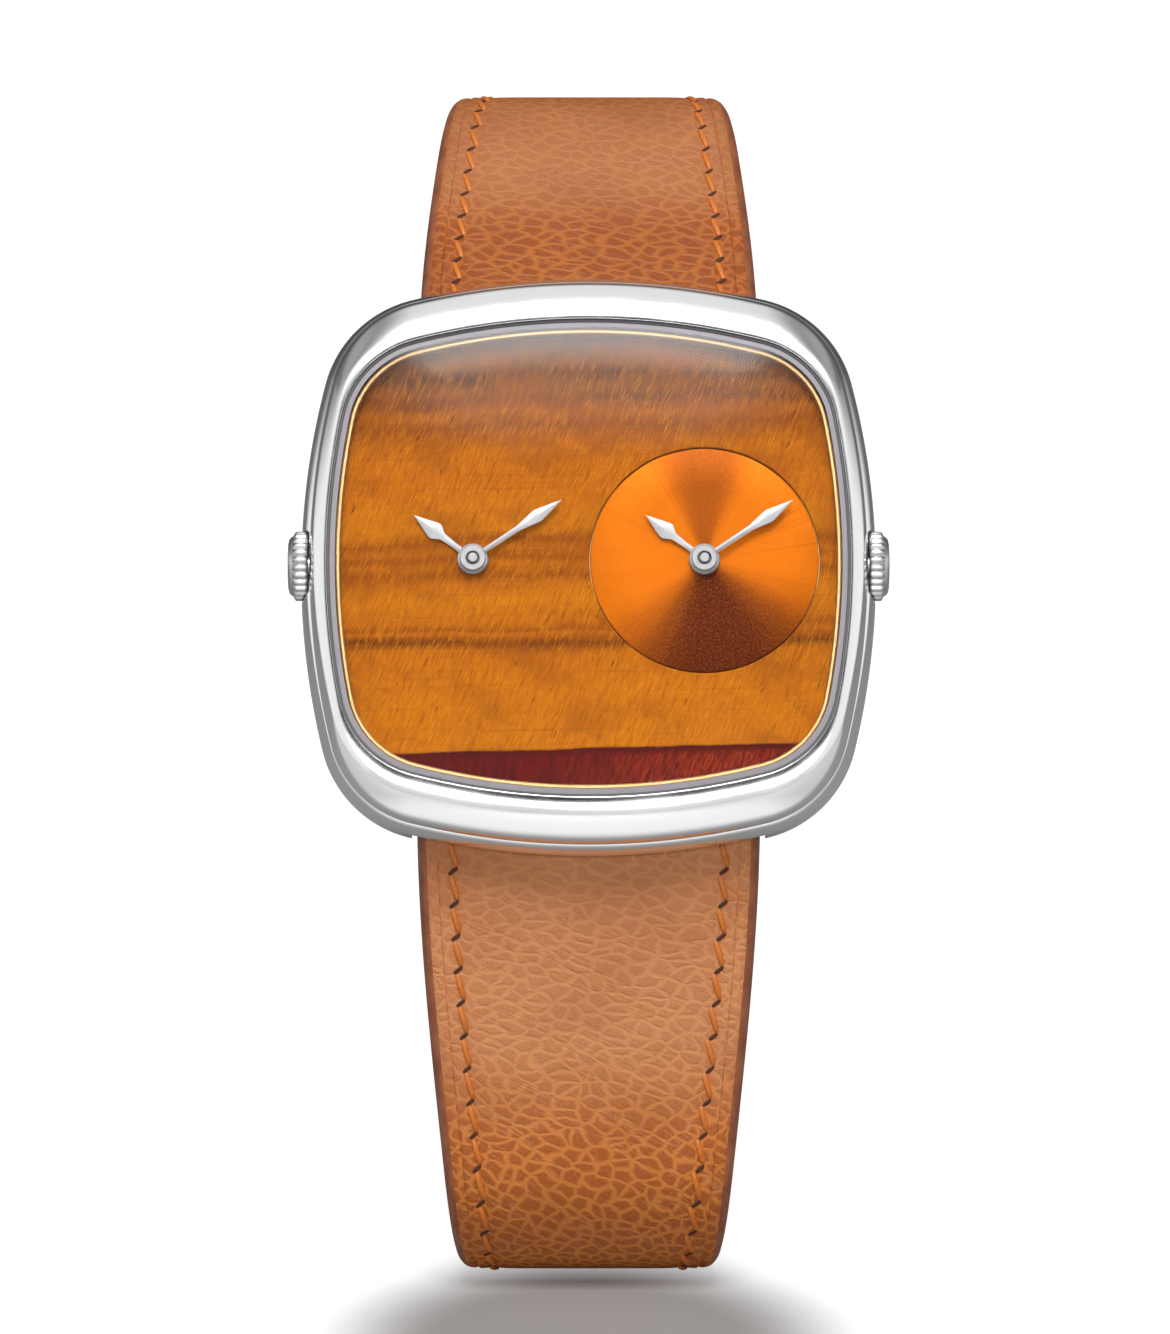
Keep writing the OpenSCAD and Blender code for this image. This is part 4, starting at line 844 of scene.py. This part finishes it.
def grained_leather(name, sheen_span, turn, shade_tint):
    """Grained calf: dark rounded cells in a wide soft net, with fine slanted creases and pores.
    Over the stretch of its length given by its second argument, in millimetres, it is paler, pinker and
    smoother: a painted sheen."""
    hide = Finish(name)
    flat = hide.node("UVMap", {}, uv_map="grain")
    warp = hide.node("TexNoise", {"Vector": flat, "Scale": 0.5, "Detail": 3.0}, output="Color")
    push = hide.node("VectorMath", {0: warp, 1: (0.5, 0.5, 0.5)}, operation="SUBTRACT")
    push = hide.node("VectorMath", {0: push, "Scale": 1.5}, operation="SCALE")
    moved = hide.node("VectorMath", {0: flat, 1: push}, operation="ADD")
    cells = hide.stretch(moved, (0.8, 1.0, 1), turn=turn)
    net = hide.node("TexVoronoi", {"Vector": cells, "Scale": 1.3, "Randomness": 0.8}, output="Distance",
                    feature="DISTANCE_TO_EDGE", voronoi_dimensions="2D")
    patch = hide.noise(flat, 0.14, 3.0, 0.55)
    pores = hide.noise(flat, 6.5, 4.0, 0.75)
    slant = hide.noise(hide.stretch(flat, (0.1, 0.8, 1), turn=turn * 1.1), 1.0, 2.0)
    crease = hide.ramp(hide.sums("ABSOLUTE", slant - 0.5), 0.0, 0.022, 1.0, 0.0)
    along = hide.node("SeparateXYZ", {"Vector": flat}, output="Y")
    # The painted sheen lies over this stretch of the strap's length: the mask below is 0 there and 1 elsewhere.
    start, stop = sheen_span
    off_sheen = hide.sums("MAXIMUM", hide.ramp(along, start - 5, start + 1, 1.0, 0.0),
                      hide.ramp(along, stop - 4, stop + 5))
    island = hide.ramp(net + (pores - 0.5) * 0.16, 0.02, 0.26)
    # In each pair the first colour is the leather under its painted sheen, and the second is its own colour.
    dark = hide.mix(off_sheen, shade(196, 122, 82), shade(156, 76, 24))
    deep = hide.mix(off_sheen, shade(216, 142, 94), shade(192, 106, 42))
    deep = hide.mix(hide.ramp(pores, 0.35, 0.65), dark, deep)
    pale = hide.mix(off_sheen, shade(224, 154, 104), shade(220, 134, 60))
    tone = hide.mix(island * (off_sheen * 0.2 + 0.75), pale, deep)
    tone = hide.mix(hide.ramp(patch, 0.35, 0.7, 0.0, 0.35), tone, shade(168, 90, 40))
    tone = hide.mix(crease * 0.4, tone, shade(216, 146, 90))
    # A tint over all. For the upper strap it is painted shade, darkening that copy against the stronger light
    # from the top lamp.
    tone = hide.mix(1.0, tone, shade_tint, "MULTIPLY")
    height = island - crease * 0.5 + pores * 0.3
    return hide.skin({"Base Color": tone, "Roughness": pores * 0.2 + 0.42, "Specular IOR Level": 0.35,
                      "Normal": hide.bump(0.5, 0.07, height)})


def smooth_leather(name, tone, dark, grain, roughness):
    """Smooth calf or a burnished edge: cloudy, with faint lines."""
    hide = Finish(name)
    flat = hide.node("UVMap", {}, uv_map="grain")
    cloud = hide.noise(flat, grain, 4.0, 0.6)
    pores = hide.noise(flat, 7.0, 3.0, 0.7)
    colour = hide.mix(hide.ramp(cloud, 0.3, 0.7), tone, dark)
    return hide.skin({"Base Color": colour, "Roughness": pores * 0.15 + roughness,
                      "Normal": hide.bump(0.3, 0.04, pores + cloud)})


# The second argument of each calf is the stretch, in millimetres along the strap, that carries a painted sheen.
calf = {"lower": grained_leather("lower_calf", (-10, 18), 0.6, (0.95, 0.92, 0.85, 1)),
        # The upper strap's copy is darker by its tint: painted shade that offsets the top lamp.
        "upper": grained_leather("upper_calf", (13, 22), -0.6, (0.68, 0.59, 0.47, 1))}
burnish = smooth_leather("burnished_edge", shade(166, 98, 62), shade(134, 70, 40), 0.5, 0.4)
lining_calf = smooth_leather("lining_calf", shade(186, 124, 78), shade(164, 100, 60), 0.25, 0.5)
top = strap_t / 2
leather_edge = (
    (6.5, 0), (5, 0), (3.9, 0), (3.2, 0.01), (2.75, 0.04), (2.5, 0.09), (2.3, 0.11), (2.1, 0.09), (1.9, 0.04),
    (1.6, 0.01), (1.38, 0.03), (1.28, 0.12), (1.18, 0.12), (1.06, 0.06), (0.85, 0.07), (0.6, 0.14), (0.38, 0.27),
    (0.2, 0.46), (0.07, 0.68), (0, 0.95))
leather_section = [(strap_end_w / 2, top)]
leather_section += [(inset * mm, top - drop * mm) for inset, drop in leather_edge]
leather_section += [
    (0.01 * mm, leather_seam + 0.14 * mm), (0.1 * mm, leather_seam + 0.03 * mm), (0.3 * mm, leather_seam),
    (3 * mm, leather_seam), (strap_end_w / 2, leather_seam)]
lining_low, lining_seam = -strap_t / 2, leather_seam - 0.02 * mm
lining_section = [
    (strap_end_w / 2, lining_seam), (3 * mm, lining_seam), (0.3 * mm, lining_seam),
    (0.12 * mm, leather_seam - 0.05 * mm), (0.03 * mm, -0.3 * mm), (0.02 * mm, -0.6 * mm),
    (0.1 * mm, lining_low + 0.25 * mm), (0.3 * mm, lining_low + 0.08 * mm), (0.6 * mm, lining_low),
    (2 * mm, lining_low), (3 * mm, lining_low), (5 * mm, lining_low), (strap_end_w / 2, lining_low)]
edge_w = 0.7 * mm
eye_r, pin_eye_r = 1.69 * mm, 1.5 * mm
hole_pitch, hole_r, hole_slot, hole_count, holes_below = 6.5 * mm, 1 * mm, 2 * mm, 6, 2
tongue_turn = math.radians(3.7)
hole_angle = pin_angle - tongue_turn


def roll(bm, centre_y, centre_z, radius, width):
    """The rounded roll of leather over a bar, added to a strap that is already bent."""
    half = [(0, width / 2), (radius - 0.3 * mm, width / 2), (radius - 0.08 * mm, width / 2 - 0.1 * mm),
            (radius, width / 2 - 0.3 * mm)]
    profile = [(out, -along) for out, along in half] + half[::-1]
    verts = turned(bm, profile, (0, centre_y, centre_z), (1, 0, 0), 32)
    layer = bm.loops.layers.uv["grain"]
    for vert in verts:
        for loop in vert.link_loops:
            loop[layer].uv = (vert.co.x / mm, (vert.co.y + vert.co.z) / mm)


for which, route, outside, tipped in (("lower", lower_route, 1, True), ("upper", upper_route, -1, False)):
    length = route.length - (0 if tipped else 0.5 * mm)
    for layer, section in (("leather", leather_section), ("lining", lining_section)):
        strap = lay_strap(section, length, tipped)
        if tipped:
            first = route.length - (tip_angle - hole_angle) * tail_r
            for number in range(hole_count):
                middle = first + (number - holes_below) * hole_pitch
                low, high = middle - hole_slot / 2, middle + hole_slot / 2
                slot = rod((0, low, -far), (0, low, far), hole_r, 32)
                carve(slot, rod((0, high, -far), (0, high, far), hole_r, 32), "UNION")
                carve(slot, block((-hole_r, low, -far), (hole_r, high, far)), "UNION")
                carve(strap, slot)
        lay_grain(strap, top if layer == "leather" else lining_low)
        if layer == "leather":
            for face in strap.faces:
                middle = face.calc_center_median()
                past = middle.y - (length - strap_end_w / 2)
                off = math.hypot(middle.x, past) if tipped and past > 0 else abs(middle.x)
                face.material_index = 1 if off > strap_end_w / 2 - edge_w else 0
        taper_strap(strap, 1 if layer == "leather" else -1)
        route.bend(strap, outside)
        if layer == "leather":
            roll(strap, route.start[0], route.start[1], eye_r, strap_w - 0.2 * mm)
            if not tipped:
                roll(strap, buckle_pin.y, buckle_pin.z, pin_eye_r, strap_end_w - 0.2 * mm)
        node = which + "_strap_" + layer
        finishes = [calf[which], burnish] if layer == "leather" else [lining_calf]
        piece(strap, which + "_" + layer, finishes, which + "_strap", "strap_" + layer, node)


# Stitches: two rows of waxed thread a little inside each edge, every stitch slanted, with a
# slit from the awl between one stitch and the next, a flat dark mark that is painted shade. One stitch is shaped
# and then repeated.
def thread_material():
    thread = Finish("waxed_thread")
    place = thread.node("TexCoord", {}, output="Object")
    twist = thread.noise(place, 5000.0, 2.0)
    tone = thread.mix(twist, shade(190, 96, 20), shade(222, 128, 44))
    return thread.skin({"Base Color": tone, "Roughness": twist * 0.2 + 0.4})


# The awl slits are flat dark marks on the leather: painted shade where the holes are.
def slit_shade_material():
    dark = Finish("awl_slit_shade")
    place = dark.node("TexCoord", {}, output="Object")
    depth = dark.noise(place, 3000.0, 2.0)
    tone = dark.mix(depth, shade(60, 30, 16), shade(84, 42, 20))
    return dark.skin({"Base Color": tone, "Roughness": depth * 0.1 + 0.8})


stitch_pitch, stitch_inset = 2.2 * mm, 2.3 * mm
stitch_len, stitch_r, stitch_slant = 1.9 * mm, 0.2 * mm, math.radians(16)
slit_len, slit_w, slit_slant = 0.75 * mm, 0.13 * mm, math.radians(-52)
thread_finish, slit_shade_finish = thread_material(), slit_shade_material()


def bead(length, radius, flat, sag):
    """A long bead along y, flattened and dipped at both ends, to repeat along a seam."""
    bm = bmesh.new()
    bmesh.ops.create_uvsphere(bm, u_segments=8, v_segments=8, radius=1)
    for vert in bm.verts:
        x, y, z = vert.co
        out = math.copysign(abs(z) ** 0.6, z)
        vert.co = Vector((x * radius, out * length / 2, y * radius * flat - sag * out ** 4))
    mesh = bpy.data.meshes.new("bead")
    bm.to_mesh(mesh)
    bm.free()
    return mesh


def repeat(bm, mesh, spot, slant):
    """Adds a copy of a mesh, turned in the leather's plane, at a spot of the flat strap."""
    copied = mesh.copy()
    copied.transform(Matrix.Translation(spot) @ Matrix.Rotation(slant, 4, "Z"))
    bm.from_mesh(copied)
    bpy.data.meshes.remove(copied)


for which, route, outside, start, stop in (
        ("lower", lower_route, 1, 2.5 * mm, lower_route.length - 9 * mm),
        ("upper", upper_route, -1, 2.5 * mm, upper_route.length - 6 * mm)):
    for name, finish in (("thread", thread_finish), ("slits", slit_shade_finish)):
        row = bmesh.new()
        count = int((stop - start) / stitch_pitch)
        for face_way, face_z in ((1, top - 0.07 * mm), (-1, lining_low)):
            stitch = bead(stitch_len, stitch_r, 0.75, face_way * 0.12 * mm)
            slit = bead(slit_len, slit_w, 0.4, 0)
            for number in range(count):
                along = start + number * stitch_pitch
                lift_z = face_z + face_way * padding(along)
                for edge in (-1, 1):
                    x = edge * (strap_width(along) / 2 - stitch_inset)
                    if name == "thread":
                        repeat(row, stitch, (x, along, lift_z + face_way * 0.03 * mm), -outside * stitch_slant)
                    else:
                        repeat(row, slit, (x, along + stitch_pitch / 2, lift_z - face_way * 0.01 * mm),
                               -outside * slit_slant)
        route.bend(row, outside)
        piece(row, which + "_" + name, [finish], which + "_strap", "strap_leather")


# Keepers: two bands of the same leather round both straps, one sewn on and one that slides.
# A band is the gap's rounded outline, thickened outwards, drawn along the loop and softened.
keeper_len, keeper_t, keeper_clear = 5 * mm, 1 * mm, 0.15 * mm
keeper_corner, keeper_soft = 0.5 * mm, 0.22 * mm
keeper_low = loop_r - strap_t / 2 - keeper_clear
keeper_high = tail_r + strap_t / 2 + keeper_clear
keeper_half = strap_end_w / 2 + keeper_clear


def rounded_outline(bm, half_wide, low, high, corner, y):
    """A rounded rectangle in the plane across the strap, as a ring of verts."""
    ring = bmesh.new()
    last = first = ring.verts.new((half_wide, y, low + corner))
    for x, z, turn in ((half_wide, high - corner, 0), (half_wide - corner, high - corner, 1),
                       (corner - half_wide, high, 0), (corner - half_wide, high - corner, 1),
                       (-half_wide, low + corner, 0), (corner - half_wide, low + corner, 1),
                       (half_wide - corner, low, 0), (half_wide - corner, low + corner, 1)):
        if turn:
            spun = bmesh.ops.spin(ring, geom=[last], cent=(x, y, z), axis=(0, -1, 0), angle=math.pi / 2,
                                  steps=5)
            last = verts_of(spun["geom_last"])[0]
        else:
            new = ring.verts.new((x, y, z))
            ring.edges.new((last, new))
            last = new
    bmesh.ops.pointmerge(ring, verts=[first, last], merge_co=first.co)
    return add_ring(bm, ring)


for name, riding in (("fixed_keeper", "upper_strap"), ("sliding_keeper", "keeper")):
    low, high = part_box(name)
    middle = (low + high) / 2
    angle = math.atan2(middle.z - lower_pin.z, middle.y - lower_pin.y)
    keeper = bmesh.new()
    soft = keeper_soft
    loops = []
    for outset, y in ((0, soft), (0, keeper_len - soft), (soft, keeper_len), (keeper_t - soft, keeper_len),
                      (keeper_t, keeper_len - soft), (keeper_t, soft), (keeper_t - soft, 0), (soft, 0)):
        loops.append(rounded_outline(keeper, keeper_half + outset, keeper_low - outset, keeper_high + outset,
                                     keeper_corner + outset, y - keeper_len / 2))
    wall(keeper, loops + loops[:1])
    lay_grain(keeper, keeper_high)
    for vert in keeper.verts:
        radius = vert.co.z
        turn = angle + vert.co.y / loop_r
        vert.co.yz = (lower_pin.y + radius * math.cos(turn), lower_pin.z + radius * math.sin(turn))
    # The keepers' flat map lies within the lower calf's sheen stretch, so they carry its painted sheen.
    piece(keeper, name + "_band", [calf["lower"]], riding, "strap_leather", name, crease=50)


# Buckle: a polished steel frame that turns on a pin in the upper strap's roll, with a round
# tongue that goes up through a hole of the lower strap and rests on the frame's outer bar.
buckle_steel = polished("buckle_steel", (0.78, 0.78, 0.79, 1), 0.12)
bar_steel = brushed("bar_steel", (0.6, 0.6, 0.61, 1), 0.3, (1, 9, 9))
dress(["upper_spring_bar", "lower_spring_bar", "buckle_pin"], bar_steel)
dress(["buckle_frame", "buckle_tongue"], buckle_steel)


# Studio: a plain pale table, a white surround that polished steel mirrors in soft patches, a
# lamp above in front and a low one in front, and the camera where the photograph was taken from.
def table_material():
    """A pale table. The camera sees it glow clear to white, except over an oval in front of the watch's foot: a
    painted shadow pool, in which the watch's real shadow also falls. Mirrors see it glow only away from the
    watch, brightest in front: painted shade under the watch.
    """
    cloth = Finish("table_top")
    camera_ray = cloth.node("LightPath", {}, output="Is Camera Ray")
    place = cloth.node("TexCoord", {}, output="Object")
    back = cloth.node("SeparateXYZ", {"Vector": place}, output="Y")
    aside = cloth.sums("ABSOLUTE", back.also("X"))
    # The oval where the camera's glow is left out, so the grey table shows there as a painted shadow pool.
    spot = cloth.node("Mapping", {"Vector": place, "Location": (0, -0.034, 0), "Scale": (0.021, 0.024, 1)},
                      vector_type="TEXTURE")
    near = cloth.node("VectorMath", {0: spot}, output="Value", operation="LENGTH")
    clear = cloth.ramp(near, 0.45, 1.0, 0.0, 0.93)
    away = cloth.node("VectorMath", {0: place}, output="Value", operation="LENGTH")
    # What mirrors see: no glow under the watch and most in front of it, which is painted shade in the reflected
    # floor.
    mirrored = cloth.ramp(away, 0.025, 0.06, 0.0, 0.75) * cloth.ramp(aside, 0.02, 0.06, 1.0, 0.5)
    mirrored = mirrored * cloth.ramp(back, -0.048, -0.024, 1.0, 0.12)
    seen = camera_ray * clear + camera_ray.also("Is Glossy Ray") * mirrored
    glow = cloth.node("Emission", {"Color": (1, 1, 1, 1), "Strength": seen})
    matt = cloth.node("BsdfPrincipled", {"Base Color": (0.35, 0.35, 0.35, 1), "Roughness": 0.6,
                                         "Specular IOR Level": 0.1})
    return cloth.surface(cloth.node("AddShader", {0: matt, 1: glow}))


table = bmesh.new()
bmesh.ops.create_grid(table, x_segments=2, y_segments=2, size=3.0)
table_mesh = bpy.data.meshes.new("table")
table.to_mesh(table_mesh)
table.free()
table_mesh.materials.append(table_material())
in_scene("table", table_mesh)

# What polished steel and the crystal mirror, by the direction that a ray looks in: way is up,
# aside is left or right and deep is to the back. Dull surfaces see none of it: they are lit by an even, dim
# fill.
world = bpy.data.worlds.new("studio")
bpy.context.scene.world = world
sky = Finish("studio", world)
way = sky.node("SeparateXYZ", {"Vector": sky.node("TexCoord", {}, output="Generated")}, output="Z")
aside = sky.sums("ABSOLUTE", way.also("X"))
deep = way.also("Y")
overhead = sky.ramp(way, 0.55, 0.85, 0.0, 0.85) * sky.ramp(aside, 0.15, 0.5, 1.0, 0.0)
corners = sky.ramp(way, 0.45, 0.7, 0.0, 0.22) * sky.ramp(aside, 0.3, 0.6)
left_right = sky.ramp(aside, 0.18, 0.5) * sky.ramp(way + deep * 0.5, 0.26, 0.58, 1.0, 0.1)
left_right = left_right * sky.ramp(deep, 0.5, 0.8, 1.0, 0.12)
in_front = sky.ramp(deep, -0.95, -0.75, 0.75, 0.0) * sky.ramp(way, 0.32, 0.42, 1.0, 0.0)
window = sky.ramp(way, 0.59, 0.65, 0.0, 1.4) + sky.ramp(way, 0.66, 0.72, 0.0, 8.0)
window = window * sky.ramp(way, 0.74, 0.84, 1.0, 0.0) * sky.ramp(deep, -0.6, -0.4, 1.0, 0.0)
window = window * sky.ramp(aside, 0.03, 0.16, 1.0, 0.15)
back_dim = sky.ramp(deep, -0.7, 0.0, 0.0, 0.06)
mirrored = overhead + corners + sky.sums("MAXIMUM", left_right, in_front) + window + back_dim + 0.03
ray = sky.node("LightPath", {}, output="Is Camera Ray")
glossy = ray.also("Is Glossy Ray")
surround = sky.node("Background", {"Color": (1, 1, 1, 1), "Strength": glossy * mirrored + (1 - glossy) * 0.16})
white = sky.node("Background", {"Color": (1, 1, 1, 1), "Strength": 1.0})
clear_ray = sky.sums("MAXIMUM", ray, ray.also("Is Transmission Ray") * sky.ramp(deep, 0.2, 0.6))
sky.node("OutputWorld", {"Surface": sky.node("MixShader", {0: clear_ray, 1: surround, 2: white})})


def lamp(name, place, aim, width, height, power):
    light = bpy.data.lights.new(name, "AREA")
    light.shape = "RECTANGLE"
    light.size = width
    light.size_y = height
    light.energy = power
    made = in_scene(name, light)
    made.location = place
    made.rotation_euler = (aim - Vector(place)).to_track_quat("-Z", "Y").to_euler()


middle = Vector((0, -0.02, 0.045))
lamp("top_lamp", (0, -0.5, 0.85), middle, 0.32, 0.32, 7)
lamp("front_lamp", (0, -0.9, 0.285), middle, 0.8, 0.12, 2.2)

elevation = math.radians(11)
camera_distance, photo_scale, photo_height = 400 * mm, 15.62 / mm, 1334
look_down, look_left, front_z = 6.83 * mm, 0.23 * mm, 4.5 * mm
view = Vector((0, -math.cos(elevation), math.sin(elevation)))
view_up = Vector((0, math.sin(elevation), math.cos(elevation)))
aim = in_case @ Vector((0, 0, front_z)) - view_up * look_down - across * look_left
lens_data = bpy.data.cameras.new("camera")
lens_data.sensor_fit = "VERTICAL"
lens_data.sensor_height = 36
lens_data.lens = photo_scale * camera_distance / photo_height * lens_data.sensor_height
lens_data.clip_start = 0.01
camera = in_scene("camera", lens_data)
camera.location = aim + view * camera_distance
camera.rotation_euler = view.to_track_quat("Z", "Y").to_euler()
bpy.context.scene.camera = camera
bpy.context.scene.view_settings.view_transform = "Standard"
